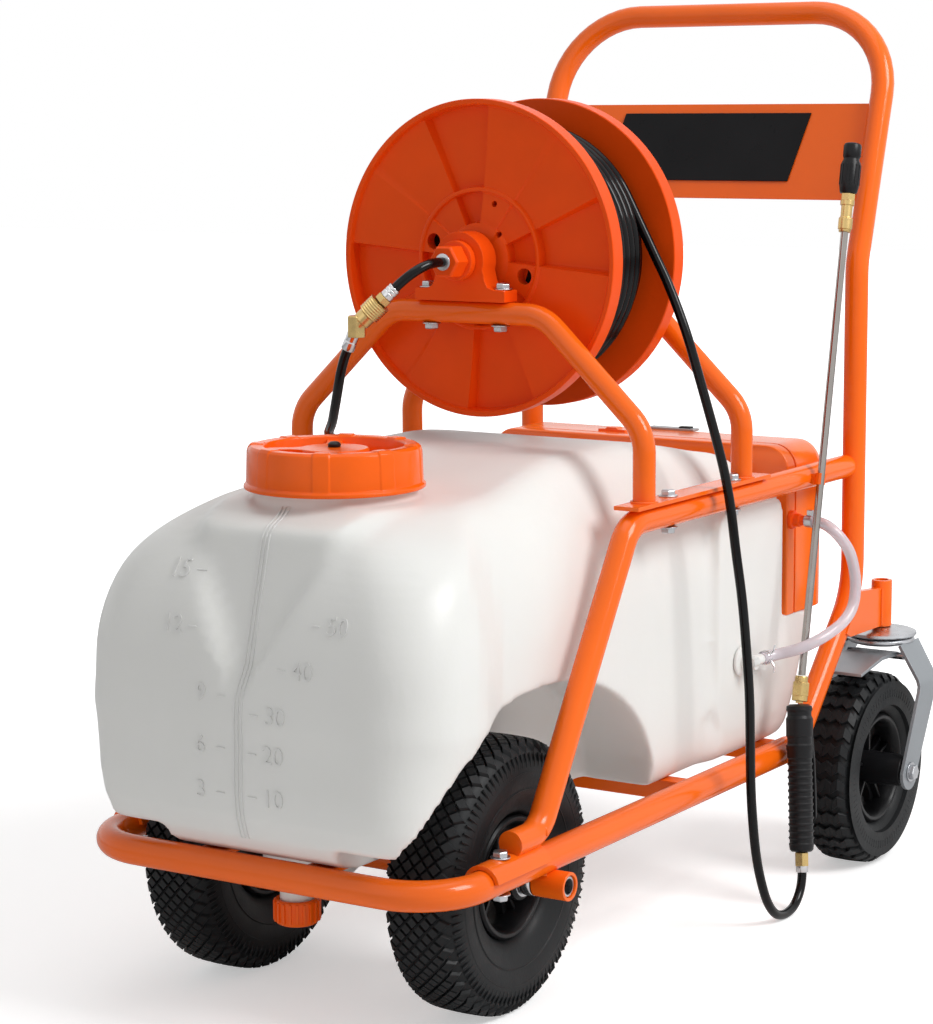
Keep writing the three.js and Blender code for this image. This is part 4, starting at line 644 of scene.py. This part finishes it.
# --- reel
def facing(y, forward=1):
    """Local Z along the reel's axis, starting at y."""
    return placed(at(0, y, REEL_Z), (0, forward, 0), X)


def flange_height(r):
    """How far the full sectors, the ring and the hub lie behind the flange's lip."""
    profile = [(0, 3.0), (32, 3.0), (35, 4.4), (66, 6.6), (100, 7.4), (151, 4.8)]
    for (r0, z0), (r1, z1) in zip(profile, profile[1:]):
        if r <= r1:
            return z0 + (z1 - z0) * (r - r0) / (r1 - r0)


def flange(name, node, y, forward):
    """Dished moulding: four sunk sectors, stepped full sectors between them, a raised ring and a lip."""
    piece = Piece(name)
    place = facing(y, forward)
    steps, sunk_z, step_z = 288, 16, 1.6

    def ring(r, level):
        angles = [360 * k / steps for k in range(steps)]
        return [on_ring(place, r, -radians(a), level(a) if callable(level) else level) for a in angles]

    def sector(r):
        def level(angle):
            from_sunk = (angle - 10) % 90
            if from_sunk < 15 or from_sunk > 75:
                return sunk_z
            return flange_height(r) + (step_z if from_sunk < 45 else 0)
        return ring(r, level)

    rings = [ring(12.3, 3), ring(32, 3), ring(35, flange_height(35)), sector(36.2), sector(65)]
    rings += [ring(r, flange_height(r) - rise) for r, rise in ((66.2, 1.6), (68, 2.2), (69.8, 1.6))]
    rings += [sector(r) for r in (71, 110, 147.6, 149.2)]
    rings += [ring(r, z) for r, z in
              ((150.4, 1.2), (151.6, 0), (155.4, 0), (156, 0.8), (156, 18.2), (155, 19), (12.3, 19))]
    piece.skin(rings, REEL_PLASTIC, loop=True)
    return piece.done("reel", [node], smooth=30)


def drilled(piece, holes, place):
    """Cuts round holes (radius, distance, degrees) right through a finished piece."""
    def pegs(cutter):
        for radius, distance, angle in holes:
            x, y = distance * cos(radians(angle)), distance * sin(radians(angle))
            peg = place @ Matrix.Translation((x * MM, -y * MM, 0))
            cutter.lathe(tube(0, radius, -5, 30), peg, REEL_PLASTIC, 32)

    cutter = solid_object("pegs", pegs)
    boolean(piece, cutter, "DIFFERENCE", use_self=False)
    mesh = baked(piece, cutter)
    piece.modifiers.clear()
    piece.data = mesh


def reel():
    face = flange("reel_face", "reel_flange_front", FLANGE_FRONT, 1)
    drilled(face, [(8, 55, 163), (8, 55, -17), (3, 57, 71), (3, 34, 45)], facing(FLANGE_FRONT))
    flange("reel_back", "reel_flange_rear", FLANGE_REAR, -1)
    drum = tube(12.3, 50, DRUM_FRONT, DRUM_REAR)
    turned("drum", "reel", "reel_drum", facing(0), [(drum, REEL_PLASTIC, 72)], smooth=38)
    shaft = Piece("reel_spindle")
    shaft.lathe([(0, 172), (11.4, 172), (12, 172.6), (12, 343.3), (17, 343.3), (17, 374.7), (12, 374.7),
                 (12, 410), (11, 411), (0, 411)], facing(0), ZINC, 48)
    shaft.bolt(at(0, 411, REEL_Z), Y, flats=19)
    shaft.done("reel", ["reel_shaft"], smooth=30)

    crank = Piece("crank")
    outline = arc(0, 0, 20, -90, 90, 18) + arc(-CRANK_LENGTH, 0, 11, 90, 270, 12)
    crank.prism(outline, 7, facing(399.3), PAINT)
    pin = placed(at(-CRANK_LENGTH, 406, REEL_Z), Y, X)
    crank.lathe([(0, 0), (5, 0), (5, 78), (4, 79), (0, 79)], pin, ZINC, 24)
    crank.done("reel", ["crank_arm"], bevel=0.8)
    grooves = [(r + 0.28 * k, h + 6 * k) for k in range(9) for r, h in ((12.6, 12), (12.0, 14))]
    knob = [(5.3, 1), (10.6, 1), (11.8, 4)] + grooves + [(14.6, 68), (13, 73), (8, 76), (5.3, 76.4)]
    turned("crank_handle", "crank_grip", "crank_knob", placed(at(-CRANK_LENGTH, 406.3, REEL_Z), Y, X),
           [(knob, BLACK, 40)])


def bearing(name, y):
    piece = Piece(name)
    foot = [(52, BLOCK_FOOT), (52, 655), (50.5, 656), (38, 656.4), (32, 659), (29.4, 664)]
    outline = [(-52, BLOCK_FOOT)] + foot + arc(0, REEL_Z, 28, -18, 198, 26)
    outline += [(-x, z) for x, z in foot[:0:-1]]
    piece.prism([(x, -z) for x, z in outline], 24, placed(at(0, y - 12, 0), Y, X), REEL_PLASTIC)
    for _, side in SIDES:
        piece.bolt(at(side * 43, y, 656.2), Z)
    piece.done("chassis", [name], bevel=1.2)


def swivel():
    flat = [(0, 0), (19.6, 0), (19.6, 7.6), (17, 8.4), (0, 8.4)]
    hexagon = [(0, 8), (16.9, 8), (16.9, 26.4), (15, 28.6), (0, 28.6)]
    mouth = [(0, 28), (8.4, 28), (8.4, 29.6), (6.4, 30), (0, 30)]
    turned("hose_swivel", "chassis", "swivel_nut", facing(170.7, -1),
           [(flat, REEL_PLASTIC, 48), (hexagon, REEL_PLASTIC, 6), (mouth, ZINC, 32)], bevel=0.6)


# --- hoses
WOUND_R, PITCH, LOOPS = 127, 10.1, 8
WINDING_Y = 225.4
TAIL_ANGLE, TAIL_RUN = radians(28), 66
TAIL_WAY = Vector((WOUND_R * sin(TAIL_ANGLE), PITCH / (2 * pi), -WOUND_R * cos(TAIL_ANGLE))).normalized()


def winding_path():
    """The outer layer of the hose: turns side by side, then a straight run off them."""
    per_turn = 72
    path = []
    for i in range(LOOPS * per_turn + 1):
        angle = TAIL_ANGLE + (LOOPS * per_turn - i) / per_turn * 2 * pi
        y = WINDING_Y + i / per_turn * PITCH
        path.append(at(WOUND_R * cos(angle), y, REEL_Z + WOUND_R * sin(angle)))
    return path + [path[-1] + TAIL_WAY * TAIL_RUN * MM]


def hose_on_reel():
    ridges = [(r, y + PITCH * k) for k in range(10) for r, y in ((119.6, 221.4), (121, 226.4))]
    core = [(50.4, 220.4)] + ridges + [(119.6, 323.4), (50.4, 323.4)]
    turned("inner_turns", "reel", "hose_core", facing(0), [(core, HOSE, 96)], smooth=38)
    outer = Piece("hose_turns")
    outer.sweep(winding_path(), HOSE_R, HOSE, 16)
    outer.done("reel", ["hose_winding"])


def centripetal(points, per_span=8):
    """A smooth curve through points, as the CAD's hoses follow it."""
    pts = [points[0] * 2 - points[1]] + points + [points[-1] * 2 - points[-2]]
    path = []
    for a, b, c, d in zip(pts, pts[1:], pts[2:], pts[3:]):
        t0, t1 = 0.0, (b - a).length ** 0.5
        t2 = t1 + (c - b).length ** 0.5
        t3 = t2 + (d - c).length ** 0.5

        def between(p, q, start, end):
            return p * ((end - t) / (end - start)) + q * ((t - start) / (end - start))

        for k in range(per_span):
            t = t1 + (t2 - t1) * k / per_span
            ab, bc, cd = between(a, b, t0, t1), between(b, c, t1, t2), between(c, d, t2, t3)
            path.append(between(between(ab, bc, t0, t2), between(bc, cd, t1, t3), t1, t2))
    return path + [pts[-2]]


def free_hose(name, node, route, radius=HOSE_R, material=HOSE):
    """A hose that hangs between two fittings."""
    path = centripetal(route)
    piece = Piece(name)
    piece.sweep(path, radius, material, 20)
    hose = piece.done("chassis", [node])


def hoses():
    start = winding_path()[-1] + TAIL_WAY * 0.3 * MM
    delivery = [start, start + TAIL_WAY * 30 * MM] + places(
        (177, 308, 613), (190, 308, 575), (202, 307, 540), (213, 306, 507), (222, 305, 478), (229, 305, 446),
        (235, 307, 398), (240, 312, 348), (243, 316, 300), (246, 318, 250), (247, 319, 200), (247, 321, 160),
        (247, 326, 122), (247, 335, 82), (247, 347, 52), (247, 362, 27), (247, 380, 11), (247, 396, 5.6),
        (247, 408.6, 5), (246.8, 421.6, 7.3), (246.5, 433, 13.9), (246, 441.5, 24), (245.3, 445.7, 35.5),
        (245, 446, 38))
    free_hose("spray_hose", "delivery_hose", delivery)
    clear = places(
        (201, 536, 395), (211, 536, 395), (222, 534, 394), (233, 531, 390), (243, 534, 380), (250, 541, 365),
        (253, 547, 346), (254, 549, 326), (254, 543, 307), (252, 528, 294), (247, 508, 285), (240, 490, 278),
        (226, 474, 270), (207, 465, 264), (199, 454, 262), (198, 440, 262))
    free_hose("suction_hose", "clear_hose", clear, 6, CLEAR)
    feed = places(
        (-69.4, 78.9, 601), (-73.6, 79.2, 592), (-80, 82, 577), (-88, 88, 559), (-98, 97, 541),
        (-110, 109.5, 526), (-125, 126, 516), (-143, 150, 508), (-157, 182, 495), (-166, 216, 483),
        (-170, 260, 475), (-170, 320, 470), (-170, 380, 466), (-168, 440, 461), (-165, 485, 456),
        (-164, 510, 454), (-164, 528, 454))
    free_hose("feed_line", "feed_hose", feed)
    hub = places(
        (0, 140.4, 684), (0, 130.4, 684), (-0.9, 120.6, 683.1), (-3.6, 111.4, 680.4), (-7.8, 103.5, 676),
        (-13.3, 97.5, 670.4), (-19.7, 93.7, 663.9), (-21.7, 92.9, 661.8))
    free_hose("hub_line", "hub_hose", hub)


def coupler():
    """Crimped ferrule, knurled quick coupler and elbow on the feed line."""
    piece = Piece("quick_coupler")
    start, feed_start = at(-21.7, 92.9, 661.8), at(-69.4, 78.9, 601)
    along = Vector((-0.676, -0.259, -0.69)).normalized()
    place = placed(start, along)
    piece.lathe([(0, 0.3), (6.2, 0.3), (6.6, 1), (6.6, 3), (6.1, 3.5), (6.6, 4), (6.6, 7), (6.1, 7.5),
                 (6.6, 8), (6.6, 13), (5.4, 14), (0, 14)], place, CHROME, 36)
    piece.lathe(tube(0, 8, 13.6, 20), place, BRASS, 6)
    knurls = [(r, h + 2.6 * k) for k in range(6) for r, h in ((11.4, 21.5), (10.6, 22.8))]
    collar = [(0, 20)] + knurls + [(11.4, 37), (9, 38.5), (9, 47), (8, 48), (8, 54), (0, 54)]
    piece.lathe(collar, place, BRASS, 40)
    corner = start + along * 54 * MM
    piece.lathe([(0, -11), (8.6, -11), (9.4, -10), (9.4, 9), (8.6, 10), (0, 10)], placed(corner), BRASS, 6)
    up = corner - feed_start
    length = up.length / MM
    piece.lathe([(0, 0.3), (6.2, 0.3), (6.6, 1), (6.6, 9), (6, 10), (6.4, 12), (6.4, length), (0, length)],
                placed(feed_start, up), CHROME, 32)
    piece.done("chassis", ["feed_coupler"], bevel=0.3, smooth=30)


def tank_fittings():
    """The tank's outlet with its wire clamp, and the pump box's inlet with its screw clamp."""
    outlet = Piece("outlet_elbow")
    outlet.lathe([(0, 184.3), (14, 184.3), (15, 185.2), (15, 187.4), (13.6, 188.4), (7.4, 188.8), (7, 204),
                  (0, 204)], placed(at(0, OUTLET_Y, OUTLET_Z), X), MILKY, 40)
    outlet.lathe([(0, -6), (7, -6), (7, 5), (5.4, 6), (5.4, 21.4), (0, 21.4)],
                 placed(at(OUTLET_X, OUTLET_Y, OUTLET_Z), Y), MILKY, 28)
    wire_r = 6.8
    for y in (446, 451):
        wire = [(y + 0.04 * i, 2 * pi * i / 44 + 0.4) for i in range(41)]
        loop = [(OUTLET_X + wire_r * cos(a), along, OUTLET_Z + wire_r * sin(a)) for along, a in wire]
        outlet.sweep(places(*loop), 0.8, CHROME, 8)
    for ear in (((204, 447, 265.5), (208, 448, 270), (209, 450, 276)),
                ((204, 452, 258), (208, 451, 252), (208.5, 449, 247))):
        outlet.sweep(places(*ear), 1.0, CHROME, 8)
    outlet.done("chassis", ["tank_outlet"], smooth=30)
    inlet = Piece("inlet_barb")
    place = placed(at(0, INLET_Y, INLET_Z), X)
    inlet.lathe([(0, 184.3), (10, 184.3), (10, 188), (7, 189), (7, 195), (5.3, 196), (5.3, 200.7),
                 (0, 200.7)], place, REEL_PLASTIC, 32)
    inlet.lathe(tube(6.1, 6.9, 203, 210), place, ZINC, 36)
    inlet.box((6, 5, 7), at(206.5, INLET_Y, INLET_Z + 8.4), ZINC)
    inlet.done("chassis", ["box_inlet"], bevel=0.3, smooth=30)


# --- tank
def ease(t):
    """0 below 0, 1 above 1, and a smooth step between."""
    t = min(1.0, max(0.0, t))
    return t * t * (3 - 2 * t)


def tank_half_width(y, inset):
    """Widest in the nose, drawn in between the rails, with a step out to the rear block."""
    return 197 - 20 * ease((y + 110) / 80) + 7 * ease((y - 366) / 7) - inset


def tank_crown(y):
    return 478 + 24 * ease((y - 10) / 150) - 36 * ease((y - 250) / 280)


def valley_shift(x, y, z):
    """How far a nose point moves to lie in the tapered valley, a straight slope under the filler neck."""
    reach = (z - 318) * 0.66
    if reach <= 0:
        return 0.0
    inside = ease((1 - abs(x) / reach) * 3.6)
    slope = -183 + 0.265 * (z - 331) + 0.085 * max(0, z - 456) ** 2
    return (slope - y) * inside


def tank_ring(z, front, rear, inset=0.0, nose_r=62.0, tail_r=24.0, rise=0.0, tuck=0.0):
    """One closed ring: half of it from the nose to the tail, then its mirror image. rise lifts it
    towards the crown, tuck draws the nose's sides in."""
    def width_at(y):
        return tank_half_width(y, inset) - tuck * (1 - ease((y + 40) / 120))

    start, end = front + nose_r, rear - tail_r
    nose_x, tail_x = width_at(start) - nose_r, tank_half_width(end, inset) - tail_r
    outline = [(nose_x * k / 14, front) for k in range(14)]
    outline += arc(nose_x, start, nose_r, -90, 0, 11)
    for k in range(1, 27):
        y = start + (end - start) * k / 27
        outline.append((width_at(y), y))
    outline += arc(tail_x, end, tail_r, 0, 90, 6)
    outline += [(tail_x * (1 - k / 5), rear) for k in range(1, 6)]
    points = []
    for x, y in outline:
        height = z + rise * (tank_crown(y) - z)
        points.append((x, y + (valley_shift(x, y, height) if y < start else 0), height))
    return places(*points, *((-x, y, h) for x, y, h in points[-2:0:-1]))


def tank_rings():
    """The loft from the belly to the crown: (height, front, rear, inset, tuck) up to the ledge."""
    low = [(163, -142, 528, 14, 25), (164.2, -153, 533, 8, 24.6), (168, -167, 540, 4, 24),
           (176, -180, 548, 1.6, 23), (190, -190, 556, 0.4, 20.6), (210, -196, 568, 0, 17),
           (232, -198, 578, 0, 12.4), (255, -197.4, 588, 0, 7.4), (275, -196.8, 595, 0, 3),
           (284, -196.8, 598, 0, 1.2), (289, -196.9, 597, 0, 0.3), (291.6, -197, 594, 0, 0),
           (292, -197, 590, 0, 0)]
    rings = [tank_ring(z, front, rear, inset, 62 - 16 * ease((292 - z) / 90), tuck=tuck)
             for z, front, rear, inset, tuck in low]
    rings += [tank_ring(*row) for row in
              ((293, -197, 529), (296, -197, 527), (305, -196.2, 526), (318, -194.6, 526))]
    for k in range(1, 19):
        rise, bend = sin(radians(5 * k)), 1 - cos(radians(5 * k))
        rings.append(tank_ring(330, -193.4 + 125.4 * bend, 526 - 40 * bend, 66 * bend, 62 + 26 * bend,
                               24 + 10 * bend, rise))
    return rings


def tank_shell(piece):
    rings = tank_rings()
    piece.skin(rings, MILKY, caps=False)
    for row in (rings[0], rings[-1]):
        for i in range(len(row) // 2):
            corners = (row[i], row[i + 1], row[-1 - i], row[-i])
            piece.mesh.faces.new([piece.mesh.verts.new(p) for p in corners])


def wheel_arches(piece):
    outline = [(-262, 80), (-262, 196)]
    for k in range(33):
        a = radians(170 - 5 * k)
        outline.append((34 + 216 * cos(a), 163 + 141 * sin(a)))
    for start in (94, -254):
        piece.upright(outline + [(250, 80)], start, 160, MILKY)


def tank_extras(piece):
    """Rounded rear blocks, sump, drain and filler neck."""
    outline = arc(397, 218, 26, 180, 270, 8) + arc(508, 204, 12, 270, 360, 6)
    outline += arc(492, 398, 28, 0, 90, 8) + arc(399, 398, 28, 90, 180, 8)
    for start in (120, -184):
        piece.upright(outline, start, 64, MILKY)
    piece.lathe([(0, 129), (34, 129), (46, 141), (52, 190), (0, 190)], placed(at(0, -85, 0)), MILKY, 64)
    spout = [(0, 100.5), (15.6, 100.5), (16, 101), (16, 150), (0, 150)]
    piece.lathe(spout, placed(at(0, DRAIN_Y, 0)), MILKY, 48)
    piece.lathe([(0, 430), (90, 430), (86, 452), (82, 470), (76, 477), (74, 482), (74, 500), (0, 500)],
                placed(at(0, NECK_Y, 0)), MILKY, 96)


def tank():
    """The shell's outside: lofted, cut for the wheels, then softened like a rotary moulding."""
    shell = solid_object("tank_shell", tank_shell)
    cutter, extra = solid_object("arch_cut", wheel_arches), solid_object("tank_extras", tank_extras)
    boolean(shell, cutter, "DIFFERENCE")
    boolean(shell, extra, "UNION")
    even = shell.modifiers.new("even", "REMESH")
    even.mode, even.voxel_size = "VOXEL", 4 * MM
    soft = shell.modifiers.new("soft", "SMOOTH")
    soft.factor, soft.iterations = 0.5, 3
    result = baked(shell, shell, cutter, extra)
    result.materials.clear()
    result.materials.append(MILKY)
    result.shade_smooth()
    piece = in_scene("tank_moulding", result)
    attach(piece, "chassis")
    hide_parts("tank")
    level_marks(piece)


def level_marks(tank_piece):
    """Raised level marks on the nose: plain numbers, dashes and three fine lines between them."""
    bpy.context.view_layer.update()

    def on_nose(x, z, proud=0.1):
        hit, point, normal, _ = tank_piece.ray_cast(at(x, -400, z), Y)
        return point + normal * proud * MM if hit else at(x, -200, z)

    marks = Piece("level_marks")
    for x in (-4, 0, 4):
        marks.sweep([on_nose(x, 478 - 290 * k / 40) for k in range(41)], 0.9, MILKY, 6)
    for text, x, z in (("50", 100, 387), ("40", 68, 346), ("30", 40, 303), ("20", 38, 268), ("10", 38, 229),
                       ("15", -84, 422), ("12", -78, 375), ("9", -42, 317), ("6", -42, 270), ("3", -42, 229)):
        curve = bpy.data.curves.new("mark", "FONT")
        curve.body, curve.size, curve.extrude = text, 23 * MM, 0.5 * MM
        curve.align_x = curve.align_y = "CENTER"
        holder = in_scene("mark", curve)
        flat = baked(holder, holder)
        for vertex in flat.vertices:
            across, up, out = (c / MM for c in vertex.co)
            vertex.co = on_nose(x + across, z + up, 0.55 + out)
        marks.mesh.from_mesh(flat)
        side = 1 if x > 0 else -1
        marks.sweep([on_nose(x - side * (18 + 9 * k / 4), z) for k in range(5)], 0.9, MILKY, 6)
    marks.done("chassis", smooth=30)


def lid():
    """Skirt with eight shallow ribs that run over the rim, three arms to a broad centre disc."""
    piece = Piece("screw_lid")
    place = placed(at(0, NECK_Y, 0))

    def ring(r, z, out=0.0, up=0.0):
        points = []
        for a in turns(288):
            proud = abs((degrees(a) - 26 + 22.5) % 45 - 22.5) < 5.5
            points.append(on_ring(place, r + (out if proud else 0), a, z + (up if proud else 0)))
        return points

    profile = [(74.9, 487.3), (83, 487.3), (84, 488.2), (84, 490.6), (82.6, 492.2), (81.2, 493, 0.9),
               (80.2, 521, 0.9), (79, 524.6, 0.9, 0.4), (76.6, 526.8, 0.8, 1), (74, 527, 0.6, 1),
               (66, 526.6, 0, 1), (64.6, 525.6), (62, 511.2), (60.6, 510.4), (34.4, 510.4), (33.4, 511),
               (32, 522.4), (31, 523.6), (0.3, 524.2), (0.3, 500.6), (74.9, 500.6)]
    piece.skin([ring(*row) for row in profile], LID_PLASTIC, loop=True)
    for angle in (-61, -145, 125):
        turn = place @ Matrix.Rotation(radians(angle), 4, "Z")
        arm = [(28, -12), (38, -7.5), (66, -7), (66, 7), (38, 7.5), (28, 12)]
        piece.prism(arm, 13, turn, LID_PLASTIC, 510.4)
    piece.done("lid", ["tank_lid"], bevel=0.8, smooth=24)
    vent = [(0, 0), (5.6, 0), (6, 0.6), (6, 2.8), (4.6, 4.2), (3.4, 4.8), (0, 4.9)]
    turned("vent", "lid", "lid_vent", placed(at(0, NECK_Y, 524.3)), [(vent, BLACK, 32)], smooth=38)


def drain():
    piece = Piece("drain_screw_cap")
    place = placed(at(0, DRAIN_Y, 0))
    piece.lathe([(0, 90), (17, 90), (19.4, 91.4), (20.6, 93.4), (20.6, 113), (19.6, 114), (16.4, 114),
                 (16.4, 100), (0, 99.6)], place, LID_PLASTIC, 64)
    for angle in turns(20):
        turn = place @ Matrix.Rotation(angle, 4, "Z")
        piece.box((2.6, 2.8, 19), Vector((20.9 * MM, 0, 102.8 * MM)), LID_PLASTIC, turn)
    piece.done("drain", ["drain_cap"], bevel=0.6)


# --- pump box
def pump_box():
    """A rounded cover drawn along Y: a sunk band near its front, softened rear edges, plate and catch."""
    piece = Piece("pump_cover")
    half, bottom, top, corner = 184, 292.3, 474, 26
    rings = []
    for y, inset in ((528.3, 1.6), (529.2, 0.4), (531, 0), (545, 0), (545.4, 2.6), (548.2, 2.6), (548.6, 0),
                     (600, 0), (608, 1), (615, 3.6), (620, 7.6), (624, 13.5), (626, 22)):
        r = max(6, corner - inset * 0.4)
        x, z = half - inset, top - inset - r
        outline = [(-x, bottom), (x, bottom)] + arc(x - r, z, r, 0, 90, 8) + arc(r - x, z, r, 90, 180, 8)
        rings.append([at(px, y, pz) for px, pz in outline])
    piece.skin(rings, BOX_PLASTIC)
    piece.done("chassis", ["pump_box"], bevel=0.8, smooth=34)
    plate = Piece("cover_switch_plate")
    plate.box((58, 14, 3), at(4, 606, 475), GREY)
    plate.box((14, 9, 3), at(20, 606, 477), BLACK)
    plate.done("chassis", bevel=0.8)
    catch = Piece("cover_catch")
    catch.prism([(-17, 0), (17, 0), (17, 3), (8, 3.4), (6, 5.5), (-6, 5.5), (-8, 3.4), (-17, 3)], 12,
                placed(at(-46, 566, 473.6), (0, -1, 0), X), BOX_PLASTIC)
    catch.done("chassis", bevel=0.6)


# --- lance
LANCE_TOP, GRIP_TOP, GRIP_END = at(217, 607, 791), at(225, 476, 211), at(245, 446, 38)


def nozzle(tube_up):
    """The brass body and the ribbed shroud, both measured down from the lance's top."""
    top = placed(LANCE_TOP, tube_up)
    turned("nozzle_body", "chassis", "lance_nozzle", top, [
        ([(4.3, -95), (6.2, -95), (6.5, -94.4), (6.5, -92.4), (7.6, -92), (7.6, -80.6), (6, -79), (6, -66),
          (4.3, -66)], BRASS, 32),
        (tube(0, 8, -61.6, -54.2), BRASS, 6),
        (tube(4.3, 7.4, -66.5, -61.4), BRASS, 28)], bevel=0.3)
    head = Piece("nozzle_shroud")
    head.lathe([(0, -53.7), (8.6, -53.7), (9.4, -52), (10.4, -46), (10.4, -22), (8.6, -18), (8.4, -16.4),
                (9.5, -14), (9.5, -3), (8.6, -1), (6.6, 0), (5.6, -4), (0, -4)], top, BLACK, 40)
    for angle in turns(12):
        turn = top @ Matrix.Rotation(angle, 4, "Z")
        head.box((1.4, 2.2, 22), Vector((10.2 * MM, 0, -34 * MM)), BLACK, turn)
    head.done("chassis", ["nozzle_head"], bevel=0.3, smooth=30)


def grip(grip_up):
    """The ribbed handle with its trigger, and the hose's end fitting under it."""
    place, length = placed(GRIP_END, grip_up), grip_up.length / MM
    rib = ((13.4, 30), (12.4, 31.4), (12.4, 34.4), (13.4, 35.8))
    ribs = [(r, h + 7 * k) for k in range(13) for r, h in rib]
    body = [(0, 22), (10.6, 22), (12.4, 24), (12.8, 28)] + ribs
    body += [(r, length - down) for r, down in (
        (13.4, 50), (14.2, 48), (14.4, 44), (13, 42), (13, 36), (14.2, 34), (14.2, 16), (12.6, 13), (12.6, 9),
        (13.8, 7), (13.4, 3), (9.6, 0.8), (0, 0.8))]
    turned("grip_moulding", "chassis", "grip_body", place, [(body, BLACK, 44)], smooth=28)
    lever = Piece("trigger_lever")
    outline = [(y, length - down) for y, down in (
        (14.4, 18), (20, 22), (24.5, 38), (28, 60), (29.6, 90), (30, 118), (28, 122), (26, 121), (25.4, 90),
        (24, 62), (20, 48), (15.6, 38), (14.3, 28))]
    lever.prism(outline, 10, place @ placed((0, 0, 0), X, Y), BLACK, -5)
    lever.done("trigger", ["grip_trigger"], bevel=1.2)
    ferrule = [(0, 0.3), (6.2, 0.3), (6.5, 1), (6.5, 9), (0, 9)]
    hexagon = [(0, 7), (7.6, 7), (7.6, 20.6), (6.6, 21.7), (0, 21.7)]
    turned("hose_end", "chassis", "grip_fitting", place, [(ferrule, CHROME, 32), (hexagon, BRASS, 6)],
           bevel=0.3)


def lance():
    tube_up = LANCE_TOP - GRIP_TOP
    foot = placed(GRIP_TOP, tube_up)
    pipe = tube(0, 4, 29.3, tube_up.length / MM - 62)
    turned("lance_pipe", "chassis", "lance_tube", foot, [(pipe, STAINLESS, 32)], smooth=38)
    nozzle(tube_up)
    turned("grip_gland", "chassis", "grip_nut", foot, [
        (tube(0, 4, 0, 2.4), BRASS, 24),
        ([(0, 2.2), (7.6, 2.2), (8.2, 3), (8.2, 8), (0, 8)], BRASS, 32),
        ([(0, 8), (9.5, 8), (9.5, 21.6), (8.6, 22.6), (0, 22.6)], BRASS, 6),
        ([(0, 22), (7, 22), (7, 27), (6.2, 29), (0, 29)], BRASS, 32)], bevel=0.3)
    grip(GRIP_TOP - GRIP_END)


# --- room and light
def floor():
    """A lit plane with light added for the camera, so that it is white and keeps the shadow."""
    size = 12
    data = bpy.data.meshes.new("floor")
    corners = [(-size, -size, 0), (size, -size, 0), (size, size, 0), (-size, size, 0)]
    data.from_pydata(corners, [], [(0, 1, 2, 3)])
    ground = bpy.data.materials.new("pale_floor")
    ground.use_nodes = True
    tree = ground.node_tree
    lit = put(tree, tree.nodes["Principled BSDF"], {"Base Color": (0.92, 0.92, 0.92, 1), "Roughness": 0.9})
    away = new_node(tree, "VectorMath", {0: new_node(tree, "TexCoord", {}).outputs["Object"]}, "LENGTH")
    fade = new_node(tree, "MapRange", {"Value": away.outputs["Value"], "From Min": 0.6, "From Max": 1.9,
                                       "To Min": 0.45, "To Max": 1.0})
    fade.interpolation_type = "SMOOTHSTEP"
    rays = new_node(tree, "LightPath", {}).outputs
    share = new_node(tree, "Math", {0: fade.outputs["Result"], 1: rays["Is Camera Ray"]}, "MULTIPLY")
    glow = new_node(tree, "Emission", {"Strength": share.outputs["Value"]})
    both = new_node(tree, "AddShader", {0: lit.outputs["BSDF"], 1: glow.outputs["Emission"]})
    put(tree, tree.nodes["Material Output"], {"Surface": both.outputs["Shader"]})
    data.materials.append(ground)
    in_scene("floor", data)


def studio():
    """White for what is seen, mirrored or seen through; dimmer as light."""
    world = bpy.data.worlds.new("studio")
    bpy.context.scene.world = world
    world.use_nodes = True
    tree = world.node_tree
    rays = new_node(tree, "LightPath", {}).outputs
    seen = new_node(tree, "Math", {0: rays["Is Camera Ray"], 1: rays["Is Glossy Ray"]}, "MAXIMUM")
    clear = new_node(tree, "Math", {0: seen.outputs["Value"], 1: rays["Is Transmission Ray"]}, "MAXIMUM")
    level = new_node(tree, "MapRange", {"Value": clear.outputs["Value"], "To Min": 0.38, "To Max": 1.0})
    put(tree, tree.nodes["Background"], {"Color": (1, 1, 1, 1), "Strength": level.outputs["Result"]})


def lamp(name, place, size, power):
    data = bpy.data.lights.new(name, "AREA")
    data.size, data.energy = size, power
    light = in_scene(name, data)
    light.location = place
    light.rotation_euler = (Vector((0, 0, 0.45)) - Vector(place)).to_track_quat("-Z", "Y").to_euler()


# --- everything
hoses()
base_frame()
side_frames()
handle()
handle_sheet()
reel_stand()
front_axle()
front_wheels()
for NAME, SIDE in SIDES:
    caster_bracket(NAME, SIDE)
    caster(NAME, SIDE)
reel()
bearing("bearing_block_front", HOOP_YS[0])
bearing("bearing_block_rear", HOOP_YS[1])
swivel()
hose_on_reel()
coupler()
tank_fittings()
tank()
lid()
drain()
pump_box()
lance()
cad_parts["lance_clip"].data.materials.clear()
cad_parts["lance_clip"].data.materials.append(PAINT)
floor()
studio()
lamp("key", (2.6, 0.2, 2.6), 1.4, 76)
lamp("front_fill", (-0.6, -3.2, 1.6), 2.2, 4)
lamp("top", (0, 0, 3.6), 2.5, 20)

bpy.context.scene.view_settings.view_transform = "Standard"
